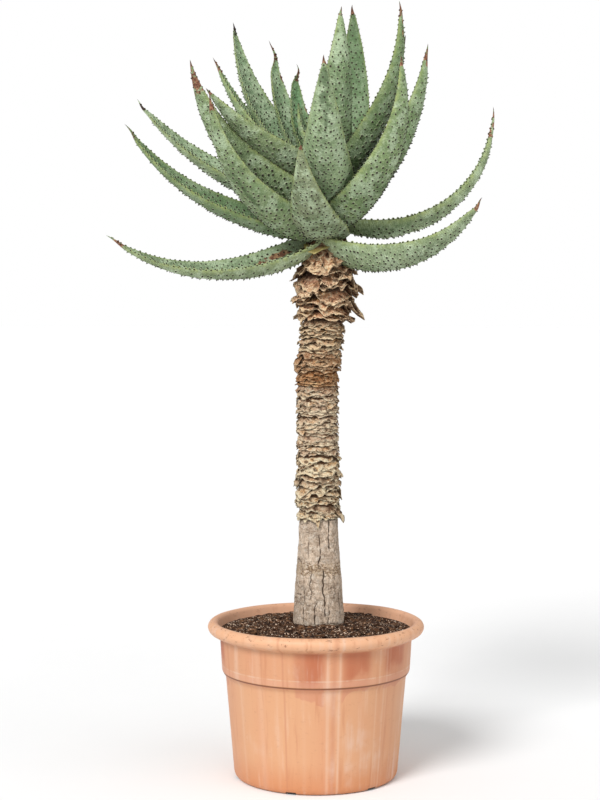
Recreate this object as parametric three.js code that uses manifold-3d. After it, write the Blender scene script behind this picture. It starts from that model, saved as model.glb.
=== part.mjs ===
// Potted mountain aloe: a single-stemmed aloe with prickly channelled leaves in a round nursery pot.
// Millimetres and degrees, +Z up, origin at the middle of the pot's flat foot.
// Directions round the plant: 0 is +X (right), 90 is +Y (back), 180 is left, 270 is front.

import * as THREE from 'three';
import Module from 'manifold-3d';

const wasm = await Module();
wasm.setup();

// Driving dimensions of the pot
const RIM_RADIUS = 160;
const RIM_TOP = 230;
const WALL = 2.6;
const FOOT_RADIUS = 114;
const BODY_FOOT_RADIUS = 121;
const BODY_TOP = { radius: 133, height: 149 };
const BAND_FOOT = { radius: 138.5, height: 157 };
const BAND_TOP = { radius: 141.5, height: 207 };
const FLOOR_THICKNESS = 3;
const POT_SIDES = 36;
const NOTCH = { count: 6, first: 12, width: 15, height: 3.4, from: 100 };

// Driving dimensions of the soil and of the clearance between pieces
const GAP = 0.3;
const SOIL_EDGE = { radius: 141.1, height: 216 };
const SOIL_AT_STEM = 227;
// Shares of the way from the soil's edge to the stem where its surface has rings of lumps
const SOIL_RINGS = [0.14, 0.34, 0.56, 0.78];
const SOIL_LUMP = 1.6;
const STEM_HOLE_FLOOR = 130;

// The stem from its foot up: height, how far its middle stands to the right of the pot's middle,
// and radius. Bare bark comes first, then the core inside the dead leaf bases and the crown.
const STEM = [
  [130, 4, 37.5], [232, 4, 37.5], [288, 4, 34], [340, 4, 30], [379, 4, 28.5], [382, 4, 26.5],
  [578, 2, 26.5], [600, 3, 26.5], [672, 11, 26.5], [700, 13, 26], [768, 15, 24], [872, 15, 22],
  [900, 15, 14],
];
// The bare bark has further rings between, so that its ridges show
const BARK_RINGS = { from: 262, step: 26, top: 375 };
const CROWN_FOOT = 768;
const STEM_SIDES = 20;
const BARK_RELIEF = 0.9;
// The bark's ridges fade in above the soil and out under the first dead leaf bases
const BARK_FADE_IN = { from: 236, over: 12 };
const BARK_FADE_OUT = { from: 384, over: 20 };

// Dead leaf bases, in sleeves of one colour: lapped scales whose hems stand out and hang in points
const SLEEVES = [
  { name: 'dead_leaf_bases_straw', foot: 383, top: 477, tiers: 6, inner: 30.2, hem: 34.6,
    points: 3, sag: 6, colour: 0xd9c49c, seed: 11 },
  { name: 'dead_leaf_bases_grey', foot: 477, top: 578, tiers: 6, inner: 29.8, hem: 33.6,
    points: 4, sag: 3.5, colour: 0xa8977e, seed: 12 },
  { name: 'dead_leaf_bases_red_brown', foot: 578, top: 600, tiers: 2, inner: 29, hem: 31.5,
    points: 3, sag: 4, colour: 0x6b3a22, seed: 13 },
  { name: 'dead_leaf_bases_cream', foot: 600, top: 672, tiers: 5, inner: 30.2, hem: 34.2,
    points: 3, sag: 3, colour: 0xcdb089, seed: 14 },
  { name: 'dead_leaf_bases_crown', foot: 672, top: 794, tiers: 6, inner: 35, hem: 48,
    points: 3, sag: 11, colour: 0x7d5c46, seed: 15, deep: true },
];
// Loose flaps: the sleeve and tier they belong to, direction, half width in degrees, and reach
const FLAPS = [
  { sleeve: 'dead_leaf_bases_straw', tier: 0, turn: 340, spread: 12, out: 5 },
  { sleeve: 'dead_leaf_bases_crown', tier: 0, turn: 352, spread: 16, out: 14 },
  { sleeve: 'dead_leaf_bases_crown', tier: 1, turn: 355, spread: 22, out: 5 },
  { sleeve: 'dead_leaf_bases_crown', tier: 2, turn: 8, spread: 16, out: 8 },
  { sleeve: 'dead_leaf_bases_crown', tier: 3, turn: 175, spread: 14, out: 5 },
  { sleeve: 'dead_leaf_bases_crown', tier: 3, turn: 0, spread: 20, out: 6 },
  { sleeve: 'dead_leaf_bases_crown', tier: 4, turn: 358, spread: 20, out: 11 },
  { sleeve: 'dead_leaf_bases_cream', tier: 0, turn: 183, spread: 30, out: 3.5 },
];

// Leaves: direction, height of the foot on the stem, length along the leaf, slope at foot and tip,
// greatest width, and how far the channel is rolled towards the leaf's own right margin.
// The front leaf has a shallow channel, a long even taper and a foot that hardly clasps the stem.
const LEAVES = [
  { name: 'leaf_low_1', turn: 190, foot: 780, length: 330, slope: [-33, 38], width: 62, roll: -20 },
  { name: 'leaf_low_2', turn: 326, foot: 765, length: 278, slope: [-22, 56], width: 84, roll: -10 },
  { name: 'leaf_low_3', turn: 85, foot: 800, length: 310, slope: [0, 45], width: 75, roll: 0 },
  { name: 'leaf_low_4', turn: 255, foot: 790, length: 200, slope: [5, 80], width: 95, roll: 0,
    footShare: 0.8, clasp: 5, channel: 0.1, taper: 1.25 },
  { name: 'leaf_low_5', turn: 2, foot: 810, length: 346, slope: [-21, 95], width: 56, roll: 0 },
  { name: 'leaf_low_6', turn: 110, foot: 800, length: 320, slope: [0, 45], width: 75, roll: 0 },
  { name: 'leaf_low_7', turn: 175, foot: 793, length: 345, slope: [3, 58], width: 66, roll: -20 },
  { name: 'leaf_low_8', turn: 60, foot: 805, length: 270, slope: [15, 50], width: 75, roll: 0 },
  { name: 'leaf_low_9', turn: 160, foot: 820, length: 355, slope: [14, 51], width: 72, roll: -12 },
  { name: 'leaf_middle_1', turn: 217, foot: 788, length: 300, slope: [5, 86], width: 75, roll: 12,
    footShare: 0.5 },
  { name: 'leaf_middle_2', turn: 315, foot: 805, length: 302, slope: [15, 107], width: 90, roll: 12 },
  { name: 'leaf_middle_3', turn: 345, foot: 805, length: 308, slope: [35, 90], width: 72, roll: -20 },
  { name: 'leaf_middle_4', turn: 205, foot: 818, length: 315, slope: [14, 81], width: 85, roll: 20 },
  { name: 'leaf_middle_5', turn: 268, foot: 825, length: 278, slope: [15, 92], width: 90, roll: 0 },
  { name: 'leaf_middle_6', turn: 90, foot: 835, length: 250, slope: [20, 80], width: 75, roll: 0 },
  { name: 'leaf_middle_7', turn: 130, foot: 835, length: 240, slope: [15, 75], width: 75, roll: 0 },
  { name: 'leaf_middle_8', turn: 28, foot: 845, length: 285, slope: [48, 80], width: 72, roll: 0 },
  { name: 'leaf_middle_9', turn: 215, foot: 857, length: 240, slope: [22, 48], width: 84, roll: 4 },
  { name: 'leaf_upper_1', turn: 150, foot: 850, length: 290, slope: [35, 65], width: 60, roll: 10 },
  { name: 'leaf_upper_2', turn: 136, foot: 860, length: 338, slope: [30, 81], width: 80, roll: 0 },
  { name: 'leaf_upper_3', turn: 14, foot: 857, length: 235, slope: [45, 85], width: 60, roll: 0 },
  { name: 'leaf_upper_4', turn: 344, foot: 865, length: 295, slope: [41, 99], width: 72, roll: 0 },
  { name: 'leaf_upper_5', turn: 71, foot: 870, length: 328, slope: [31, 105], width: 90, roll: 10 },
  { name: 'leaf_upper_6', turn: 285, foot: 870, length: 260, slope: [52, 100], width: 74, roll: 8 },
  { name: 'leaf_upper_7', turn: 125, foot: 875, length: 270, slope: [30, 90], width: 55, roll: 0 },
  { name: 'leaf_heart_1', turn: 126, foot: 890, length: 188, slope: [33, 106], width: 48, roll: -5 },
  { name: 'leaf_heart_2', turn: 150, foot: 895, length: 105, slope: [50, 90], width: 36, roll: 0 },
  { name: 'leaf_heart_3', turn: 300, foot: 895, length: 110, slope: [60, 90], width: 35, roll: 0 },
];
const LEAF_START = 12;
const LEAF_THICKNESS = 14;
const LEAF_CHANNEL = 0.46;
const LEAF_TAPER = 1.7;
const LEAF_CLASP = 20;
// Share of the length over which a leaf's foot widens, thickens and stops clasping
const LEAF_FOOT = 0.22;
const LEAF_STATIONS = [0, 0.12, 0.28, 0.46, 0.64, 0.81, 0.92];
// Points round a leaf: right margin, channel, left margin, then three under the rounded back
const LEAF_GIRTH = [0, 90, 180, 225, 270, 315];
const LEFT_MARGIN = 2;
// How wide a leaf's foot is beside its greatest width: wide low down, narrow inside the crown
const FOOT_SHARE = { low: 0.86, middle: 0.66, upper: 0.5, heart: 0.6 };

// How far the room that a leaf keeps for itself is grown, as multiples of the clearance
const ROOM = { clearance: GAP + 0.1, marginOut: 2.5, marginUp: 2.3, face: 1.2, foot: 6, tip: 2 };

// Prickles stand on both faces and as teeth on both margins
const PRICKLE_HEIGHT = 2.8;
const PRICKLE_RADIUS = 1.5;
const PRICKLE_LEAN = 0.8;
const PRICKLE_CLEARANCE = 7;
// Prickles between two stations, on the lower face and on the upper face
const PRICKLES_PER_FACE = [[1, 1], [2, 1]];

const COLOURS = {
  pot: 0xe0a680,
  soil: 0x3a2c22,
  bark: 0xb9ab99,
  leaf: [0x8fa48c, 0x7f9c8c, 0x95a57e],
};

const radians = THREE.MathUtils.degToRad;
const lerp = THREE.MathUtils.lerp;
const smooth = (value) => THREE.MathUtils.smoothstep(value, 0, 1);

// The same draws every time, from one seed
function draws(seed) {
  let state = seed * 2654435761 % 4294967296;
  return () => {
    state = (state * 1664525 + 1013904223) % 4294967296;
    return state / 4294967296;
  };
}

// Straight-line reading of one column of the stem's table at a height
function stemValue(height, column) {
  let last = 1;
  while (last < STEM.length - 1 && STEM[last][0] < height) {
    last += 1;
  }
  const lower = STEM[last - 1];
  const upper = STEM[last];
  const share = THREE.MathUtils.clamp((height - lower[0]) / (upper[0] - lower[0]), 0, 1);
  return lerp(lower[column], upper[column], share);
}

const stemOffset = (height) => stemValue(height, 1);
const stemRadius = (height) => stemValue(height, 2);

// A closed body from points and triangles, as a solid that can be cut
function solidOf(points, triangles) {
  const vertProperties = new Float32Array(points.length * 3);
  points.forEach((point, index) => vertProperties.set([point.x, point.y, point.z], index * 3));
  const triVerts = new Uint32Array(triangles.flat());
  return new wasm.Manifold(new wasm.Mesh({ numProp: 3, vertProperties, triVerts }));
}

// The largest piece of a solid as a flat-shaded mesh
function meshOf(name, solid, colour, roughness) {
  const pieces = solid.decompose();
  pieces.sort((one, other) => other.volume() - one.volume());
  const { vertProperties, triVerts } = pieces[0].getMesh();
  let geometry = new THREE.BufferGeometry();
  geometry.setAttribute('position', new THREE.BufferAttribute(vertProperties, 3));
  geometry.setIndex(new THREE.BufferAttribute(triVerts, 1));
  geometry = geometry.toNonIndexed();
  geometry.computeVertexNormals();
  const material = new THREE.MeshStandardMaterial({ color: colour, roughness, metalness: 0 });
  const mesh = new THREE.Mesh(geometry, material);
  mesh.name = name;
  return mesh;
}

// Rings of equal count joined into a skin, going up, with each ring running anticlockwise
function skin(triangles, rings) {
  for (let ring = 0; ring + 1 < rings.length; ring += 1) {
    const lower = rings[ring];
    const upper = rings[ring + 1];
    for (let side = 0; side < lower.length; side += 1) {
      const next = (side + 1) % lower.length;
      triangles.push([lower[side], lower[next], upper[next]]);
      triangles.push([lower[side], upper[next], upper[side]]);
    }
  }
}

// Triangles from a ring to one point, looking up or down
function fan(triangles, ring, hub, looksUp) {
  ring.forEach((index, side) => {
    const next = ring[(side + 1) % ring.length];
    triangles.push(looksUp ? [index, next, hub] : [next, index, hub]);
  });
}

// Closes a ring with a fan to its own middle
function closeRing(points, triangles, ring, looksUp) {
  const middle = new THREE.Vector3();
  ring.forEach((index) => middle.add(points[index]));
  const hub = points.push(middle.divideScalar(ring.length)) - 1;
  fan(triangles, ring, hub, looksUp);
}

function addRing(points, ringPoints) {
  return ringPoints.map((point) => points.push(point) - 1);
}

// Pot

function potProfile() {
  const under = { radius: BAND_TOP.radius + 8, height: RIM_TOP - 20 };
  const outside = [
    [0, 0],
    [FOOT_RADIUS, 0],
    [FOOT_RADIUS + 4.5, 1.6],
    [BODY_FOOT_RADIUS, 7],
    [BODY_TOP.radius, BODY_TOP.height],
    [BAND_FOOT.radius, BAND_FOOT.height],
    [BAND_TOP.radius, BAND_TOP.height],
    [under.radius, under.height],
    [RIM_RADIUS - 3, RIM_TOP - 16],
    [RIM_RADIUS, RIM_TOP - 9],
    [RIM_RADIUS - 2, RIM_TOP - 3.5],
    [RIM_RADIUS - 7, RIM_TOP],
    [RIM_RADIUS - 12, RIM_TOP],
    [RIM_RADIUS - 15.5, RIM_TOP - 3],
  ];
  return [...outside, ...potInside().reverse()];
}

// The inner wall from the floor up, which the soil follows too
function potInside() {
  return [
    [0, FLOOR_THICKNESS],
    [BODY_FOOT_RADIUS - WALL - 3, FLOOR_THICKNESS],
    [BODY_FOOT_RADIUS - WALL + 0.4, 9],
    [BODY_TOP.radius - WALL, BODY_TOP.height + 1],
    [BAND_FOOT.radius - WALL, BAND_FOOT.height + 1],
    [BAND_TOP.radius - WALL, BAND_TOP.height],
    [RIM_RADIUS - 18, RIM_TOP - 12],
  ];
}

function turnedSolid(profile, sides) {
  const points = [];
  const triangles = [];
  const rings = [];
  const hubs = [];
  profile.forEach(([radius, height]) => {
    if (radius === 0) {
      hubs.push(points.push(new THREE.Vector3(0, 0, height)) - 1);
      return;
    }
    rings.push(addRing(points, circle(0, radius, height, sides)));
  });
  skin(triangles, rings);
  fan(triangles, rings[0], hubs[0], false);
  fan(triangles, rings[rings.length - 1], hubs[1], true);
  return solidOf(points, triangles);
}

function onCircle(middleX, radius, turn, height) {
  return new THREE.Vector3(middleX + radius * Math.cos(turn), radius * Math.sin(turn), height);
}

function circle(middleX, radius, height, sides) {
  return Array.from({ length: sides }, (_, side) => {
    return onCircle(middleX, radius, side / sides * Math.PI * 2, height);
  });
}

// A block for a drain notch, from inside the foot out past the wall
function notchBlock(turn) {
  const length = 40;
  const box = new THREE.BoxGeometry(length, NOTCH.width, NOTCH.height * 2);
  box.translate(NOTCH.from + length / 2, 0, 0);
  box.rotateZ(radians(turn));
  return boxSolid(box);
}

function boxSolid(box) {
  const position = box.getAttribute('position');
  const index = box.getIndex();
  const seen = new Map();
  const points = [];
  const places = [];
  for (let row = 0; row < position.count; row += 1) {
    const point = new THREE.Vector3().fromBufferAttribute(position, row);
    const key = point.toArray().map((value) => value.toFixed(3)).join();
    if (!seen.has(key)) {
      seen.set(key, points.push(point) - 1);
    }
    places.push(seen.get(key));
  }
  const triangles = [];
  for (let corner = 0; corner < index.count; corner += 3) {
    triangles.push([0, 1, 2].map((step) => places[index.getX(corner + step)]));
  }
  return solidOf(points, triangles);
}

function makePot() {
  let pot = turnedSolid(potProfile(), POT_SIDES);
  for (let number = 0; number < NOTCH.count; number += 1) {
    pot = pot.subtract(notchBlock(NOTCH.first + number * 360 / NOTCH.count));
  }
  return meshOf('pot', pot, COLOURS.pot, 0.62);
}

// Soil: follows the pot's inner wall, mounds up to the stem, and has a plain hole for it

function makeSoil() {
  const random = draws(3);
  const points = [];
  const triangles = [];
  const stemX = stemOffset(SOIL_AT_STEM);
  const holeRadius = stemRadius(STEM_HOLE_FLOOR) + 2 * GAP;
  const wall = potInside().slice(1, -1).map(([radius, height]) => [radius - GAP, height + GAP]);
  wall.push([SOIL_EDGE.radius, SOIL_EDGE.height]);
  const rings = wall.map(([radius, height]) => addRing(points, circle(0, radius, height, POT_SIDES)));
  closeRing(points, triangles, rings[0], false);
  const edge = circle(0, SOIL_EDGE.radius, SOIL_EDGE.height, POT_SIDES);
  const hole = circle(stemX, holeRadius, SOIL_AT_STEM, POT_SIDES);
  for (const share of SOIL_RINGS) {
    const ring = edge.map((point, side) => {
      const inner = point.clone().lerp(hole[side], share);
      inner.z = lerp(SOIL_EDGE.height, SOIL_AT_STEM, smooth(share)) + SOIL_LUMP * (2 * random() - 1);
      return inner;
    });
    rings.push(addRing(points, ring));
  }
  rings.push(addRing(points, hole));
  rings.push(addRing(points, circle(stemX, holeRadius, STEM_HOLE_FLOOR - GAP, POT_SIDES)));
  skin(triangles, rings);
  closeRing(points, triangles, rings[rings.length - 1], true);
  return meshOf('soil', solidOf(points, triangles), COLOURS.soil, 0.95);
}

// Stem: bare fissured bark at the foot, and the core that the dead and living leaves grow on

function stemSolid(grow) {
  const points = [];
  const triangles = [];
  const heights = new Set(STEM.map(([height]) => height));
  for (let height = BARK_RINGS.from; height < BARK_RINGS.top; height += BARK_RINGS.step) {
    heights.add(height);
  }
  const rings = [...heights].sort((one, other) => one - other).map((height) => {
    const fadeIn = smooth((height - BARK_FADE_IN.from) / BARK_FADE_IN.over);
    const fadeOut = smooth((BARK_FADE_OUT.from - height) / BARK_FADE_OUT.over);
    const inCrown = height >= CROWN_FOOT;
    const flat = Math.cos(Math.PI * 2 / STEM_SIDES);
    const ring = Array.from({ length: STEM_SIDES }, (_, side) => {
      const turn = side / STEM_SIDES * Math.PI * 2;
      const ridges = Math.sin(5 * turn + height / 31) + Math.sin(9 * turn - height / 17);
      const reach = stemRadius(height) + grow + fadeIn * fadeOut * BARK_RELIEF * ridges / 2;
      const facet = inCrown && side % 2 === 1 ? flat : 1;
      return onCircle(stemOffset(height), reach * facet, turn, height);
    });
    return addRing(points, ring);
  });
  skin(triangles, rings);
  closeRing(points, triangles, rings[0], false);
  closeRing(points, triangles, rings[rings.length - 1], true);
  return solidOf(points, triangles);
}

// A sleeve of lapped scales. Each tier is a hem that stands out and hangs in points, and a face
// that leans back up to the foot of the next tier. Everything stays between its foot and its top.
function sleeveSolid(sleeve) {
  const random = draws(sleeve.seed);
  const points = [];
  const triangles = [];
  const foot = sleeve.foot + GAP / 2;
  const top = sleeve.top - GAP / 2;
  const step = (top - foot) / sleeve.tiers;
  const bore = (height) => stemRadius(height) + GAP;
  const placed = (radii, heights) => radii.map((radius, side) => {
    const turn = side / STEM_SIDES * Math.PI * 2;
    return onCircle(stemOffset(heights[side]), radius, turn, heights[side]);
  });
  const level = (height) => new Array(STEM_SIDES).fill(height);
  const even = (radius) => new Array(STEM_SIDES).fill(radius);
  const rings = [];
  for (let tier = 0; tier < sleeve.tiers; tier += 1) {
    const shift = random() * 360 + tier * 47;
    const flaps = FLAPS.filter((flap) => flap.sleeve === sleeve.name && flap.tier === tier);
    const hemHeights = [];
    const hemRadii = [];
    for (let side = 0; side < STEM_SIDES; side += 1) {
      const turn = side / STEM_SIDES * 360;
      const hang = Math.abs(Math.sin(radians((turn + shift) * sleeve.points / 2)));
      const ragged = 0.35 * (random() - 0.5);
      const reach = flaps.reduce((sum, flap) => {
        const away = THREE.MathUtils.euclideanModulo(turn - flap.turn + 180, 360) - 180;
        return sum + flap.out * Math.exp(-((away / flap.spread) ** 2));
      }, 0);
      const rise = THREE.MathUtils.clamp(1 - hang + ragged, 0, 1) * Math.min(sleeve.sag, step * 0.8);
      hemHeights.push(foot + tier * step + rise * (tier === 0 ? 0.6 : 1));
      const out = lerp(sleeve.inner + 1, sleeve.hem, 0.35 + 0.5 * hang + 0.15 * random());
      hemRadii.push(out + reach);
    }
    const lip = tier === 0 ? level(foot) : hemHeights.map((height) => height + 0.25 * step);
    rings.push(addRing(points, placed(even(sleeve.inner), lip)));
    rings.push(addRing(points, placed(hemRadii, hemHeights)));
    if (sleeve.deep) {
      const faceHeights = hemHeights.map((height) => height + 0.45 * step);
      const faceRadii = hemRadii.map((radius) => lerp(sleeve.inner, Math.min(radius, sleeve.hem), 0.72));
      rings.push(addRing(points, placed(faceRadii, faceHeights)));
    }
  }
  rings.push(addRing(points, placed(even(sleeve.inner), level(top))));
  const bends = STEM.map(([height]) => height).filter((height) => height > foot && height < top);
  [top, ...bends.reverse(), foot].forEach((height) => {
    rings.push(addRing(points, placed(even(bore(height)), level(height))));
  });
  rings.push(rings[0]);
  skin(triangles, rings);
  return solidOf(points, triangles);
}

// Leaves

// Middle line of a leaf: the slope changes evenly from foot to tip
function leafLine(leaf, share) {
  const turn = radians(leaf.turn);
  const from = radians(leaf.slope[0]);
  const change = radians(leaf.slope[1]) - from;
  const slope = from + change * share;
  const reach = leaf.length / change * (Math.sin(slope) - Math.sin(from));
  const climb = leaf.length / change * (Math.cos(from) - Math.cos(slope));
  const outward = new THREE.Vector3(Math.cos(turn), Math.sin(turn), 0);
  const place = new THREE.Vector3(stemOffset(leaf.foot), 0, leaf.foot + climb)
    .addScaledVector(outward, LEAF_START + reach);
  const along = outward.clone().multiplyScalar(Math.cos(slope));
  along.z = Math.sin(slope);
  const face = outward.clone().multiplyScalar(-Math.sin(slope));
  face.z = Math.cos(slope);
  const side = new THREE.Vector3().crossVectors(along, face);
  const roll = radians(leaf.roll);
  const upper = face.clone().multiplyScalar(Math.cos(roll)).addScaledVector(side, Math.sin(roll));
  const across = side.multiplyScalar(Math.cos(roll)).addScaledVector(face, -Math.sin(roll));
  return { place, along, upper, across };
}

// Half width, thickness and channel depth at a share of the leaf's length
function leafSection(leaf, share) {
  const foot = leaf.footShare ?? FOOT_SHARE[leaf.name.split('_')[1]];
  const narrowing = 1 - share ** (leaf.taper ?? LEAF_TAPER);
  const half = leaf.width / 2 * narrowing * lerp(foot, 1, smooth(share / LEAF_FOOT));
  const thick = LEAF_THICKNESS * (1 - share ** 2.2) ** 0.8 * lerp(0.75, 1, smooth(share / LEAF_FOOT));
  const channel = (leaf.channel ?? LEAF_CHANNEL) * half * (1 - 0.55 * smooth((share - 0.35) / 0.5));
  return { half, thick, channel };
}

// One ring of the leaf: from the right margin over the channelled upper face to the left margin,
// and back under the rounded lower face. Near the stem the margins clasp backwards.
function leafRing(leaf, share, grow) {
  const { place, along, upper, across } = leafLine(leaf, share);
  const { half, thick, channel } = leafSection(leaf, share);
  const clasp = (leaf.clasp ?? LEAF_CLASP) * (1 - smooth(share / LEAF_FOOT));
  const back = share === 0 ? ROOM.foot * grow : 0;
  return LEAF_GIRTH.map((degrees) => {
    const angle = radians(degrees);
    const bulge = Math.sin(angle);
    const onMargin = degrees % 180 === 0;
    const sideways = (half + grow * (onMargin ? ROOM.marginOut : ROOM.face)) * Math.cos(angle);
    const raised = grow * (onMargin ? ROOM.marginUp : ROOM.face * bulge);
    const height = thick * Math.min(bulge, 0) - channel * bulge ** 2 + raised;
    return place.clone()
      .addScaledVector(across, sideways)
      .addScaledVector(upper, height + channel + thick / 2)
      .addScaledVector(along, -clasp * Math.cos(angle) ** 2 - back);
  });
}

// The plain body of a leaf as points and triangles, with each triangle's place on the leaf
function leafBody(leaf, grow) {
  const points = [];
  const rings = LEAF_STATIONS.map((share) => addRing(points, leafRing(leaf, share, grow)));
  const tip = leafLine(leaf, 1);
  const tipPoint = tip.place.clone().addScaledVector(tip.along, grow * ROOM.tip);
  const tipIndex = points.push(tipPoint) - 1;
  const faces = [];
  const count = LEAF_GIRTH.length;
  for (let station = 0; station + 1 < rings.length; station += 1) {
    for (let number = 0; number < count; number += 1) {
      const next = (number + 1) % count;
      const near = rings[station];
      const far = rings[station + 1];
      faces.push({ corners: [near[number], far[number], far[next]], station, number, half: 0 });
      faces.push({ corners: [near[number], far[next], near[next]], station, number, half: 1 });
    }
  }
  const last = rings[rings.length - 1];
  last.forEach((index, number) => {
    const corners = [index, tipIndex, last[(number + 1) % count]];
    faces.push({ corners, station: rings.length - 1, number, half: 0 });
  });
  const foot = rings[0];
  const cap = [[0, 1, 5], [1, 4, 5], [1, 3, 4], [1, 2, 3]];
  cap.forEach((corners) => {
    faces.push({ corners: corners.map((corner) => foot[corner]), station: -1, number: 0, half: 0 });
  });
  return { points, faces };
}

// Whether a small eight-faced zone round a place is clear of all the other leaves' rooms
function zoneIsClear(place, rooms) {
  const axes = [[1, 0, 0], [0, 1, 0], [-1, 0, 0], [0, -1, 0], [0, 0, 1], [0, 0, -1]];
  const reach = PRICKLE_CLEARANCE;
  const points = axes.map((axis) => place.clone().addScaledVector(new THREE.Vector3(...axis), reach));
  const sides = [[0, 1], [1, 2], [2, 3], [3, 0]];
  const triangles = sides.flatMap(([one, other]) => [[one, other, 4], [other, one, 5]]);
  const zone = solidOf(points, triangles);
  return rooms.every(({ solid, box }) => {
    return box.distanceToPoint(place) > reach || solid.intersect(zone).isEmpty();
  });
}

// A prickle: a three-sided spike on a small triangle inside a face, leaning to the leaf's tip
function growPrickle(points, corners, lean, triangles) {
  const [one, two, three] = corners.map((corner) => points[corner]);
  const middle = one.clone().add(two).add(three).divideScalar(3);
  const normal = new THREE.Vector3().crossVectors(
    two.clone().sub(one), three.clone().sub(one)).normalize();
  const nearest = Math.min(...[one, two, three].map((point) => point.distanceTo(middle)));
  const size = Math.min(PRICKLE_RADIUS, nearest * 0.3);
  const root = [one, two, three].map((point) => {
    const out = point.clone().sub(middle).normalize().multiplyScalar(size);
    return points.push(middle.clone().add(out)) - 1;
  });
  const tip = middle.clone().addScaledVector(normal, PRICKLE_HEIGHT).addScaledVector(lean, PRICKLE_LEAN);
  const tipIndex = points.push(tip) - 1;
  for (let corner = 0; corner < 3; corner += 1) {
    const next = (corner + 1) % 3;
    triangles.push([corners[corner], corners[next], root[next]]);
    triangles.push([corners[corner], root[next], root[corner]]);
    triangles.push([root[corner], root[next], tipIndex]);
  }
}

// A tooth on a margin, whose edge runs from one station to the next between two faces
function growTooth(points, edge, upperCorner, lowerCorner, outward, triangles) {
  const [from, to] = edge;
  const start = points[from].clone().lerp(points[to], 0.46);
  const end = points[from].clone().lerp(points[to], 0.54);
  const middle = points[from].clone().lerp(points[to], 0.5);
  const raised = middle.clone().lerp(points[upperCorner], 0.1);
  const tip = middle.clone().addScaledVector(outward, PRICKLE_HEIGHT);
  const startIndex = points.push(start) - 1;
  const endIndex = points.push(end) - 1;
  const raisedIndex = points.push(raised) - 1;
  const tipIndex = points.push(tip) - 1;
  triangles.push(
    [from, startIndex, upperCorner],
    [startIndex, raisedIndex, upperCorner],
    [raisedIndex, endIndex, upperCorner],
    [endIndex, to, upperCorner],
    [startIndex, tipIndex, raisedIndex],
    [tipIndex, endIndex, raisedIndex],
    [startIndex, from, lowerCorner],
    [endIndex, startIndex, lowerCorner],
    [to, endIndex, lowerCorner],
    [tipIndex, startIndex, endIndex],
  );
}

function leafSolid(leaf, otherRooms, seed) {
  const random = draws(seed);
  const { points, faces } = leafBody(leaf, 0);
  const triangles = [];
  const used = new Set();
  for (let station = 1; station < LEAF_STATIONS.length - 1; station += 1) {
    for (const margin of [0, LEFT_MARGIN]) {
      growMarginTooth(leaf, points, faces, station, margin, otherRooms, used, triangles);
    }
    const [below, above] = PRICKLES_PER_FACE[station % 2];
    const strip = faces.filter((face) => face.station === station && !used.has(face));
    for (const [wanted, under] of [[below, true], [above, false]]) {
      const choices = strip.filter((face) => face.number >= LEFT_MARGIN === under);
      for (let count = 0; count < wanted; count += 1) {
        const [face] = choices.splice(Math.floor(random() * choices.length), 1);
        if (zoneIsClear(faceMiddle(points, face), otherRooms)) {
          used.add(face);
          growPrickle(points, face.corners, leafLine(leaf, 0.5).along, triangles);
        }
      }
    }
  }
  faces.filter((face) => !used.has(face)).forEach((face) => triangles.push(face.corners));
  return solidOf(points, triangles);
}

function faceMiddle(points, face) {
  const sum = new THREE.Vector3();
  face.corners.forEach((corner) => sum.add(points[corner]));
  return sum.divideScalar(3);
}

function growMarginTooth(leaf, points, faces, station, margin, otherRooms, used, triangles) {
  const before = (margin + LEAF_GIRTH.length - 1) % LEAF_GIRTH.length;
  const ahead = faces.find((f) => f.station === station && f.number === margin && f.half === 0);
  const behind = faces.find((f) => f.station === station && f.number === before && f.half === 1);
  const [from, to, aheadCorner] = ahead.corners;
  const behindCorner = behind.corners[0];
  const middle = points[from].clone().lerp(points[to], 0.5);
  if (zoneIsClear(middle, otherRooms)) {
    const share = (LEAF_STATIONS[station] + LEAF_STATIONS[station + 1]) / 2;
    const outward = leafLine(leaf, share).across.multiplyScalar(margin === 0 ? 1 : -1);
    used.add(ahead);
    used.add(behind);
    growTooth(points, [from, to], aheadCorner, behindCorner, outward, triangles);
  }
}

// The whole plant

const plant = new THREE.Group();
plant.add(makePot());
plant.add(makeSoil());
plant.add(meshOf('stem', stemSolid(0), COLOURS.bark, 0.85));

// Leaves higher on the stem keep their form; a lower leaf's foot is fitted round them
const stemRoom = stemSolid(GAP);
const highFirst = [...LEAVES].sort((one, other) => other.foot - one.foot);
const rooms = highFirst.map((leaf) => {
  const { points, faces } = leafBody(leaf, ROOM.clearance);
  const solid = solidOf(points, faces.map((face) => face.corners));
  return { leaf, solid, box: new THREE.Box3().setFromPoints(points) };
});
highFirst.forEach((leaf, rank) => {
  const otherRooms = rooms.filter((room) => room.leaf !== leaf);
  let solid = leafSolid(leaf, otherRooms, rank + 21).subtract(stemRoom);
  rooms.slice(0, rank).forEach((room) => {
    solid = solid.subtract(room.solid);
  });
  plant.add(meshOf(leaf.name, solid, COLOURS.leaf[rank % 3], 0.55));
});

for (const sleeve of SLEEVES) {
  let solid = sleeveSolid(sleeve);
  for (const room of rooms) {
    solid = solid.subtract(room.solid);
  }
  plant.add(meshOf(sleeve.name, solid, sleeve.colour, 0.9));
}

export default plant;
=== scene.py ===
"""Potted mountain aloe: the looks of the plant and its pot, built round the solid parts.

Lengths in the tables are millimetres and angles are degrees. Directions round the plant:
0 is +X (right), 90 is +Y (back), 180 is left and 270 is front. Heights start at the pot's foot.
"""

import math

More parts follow.
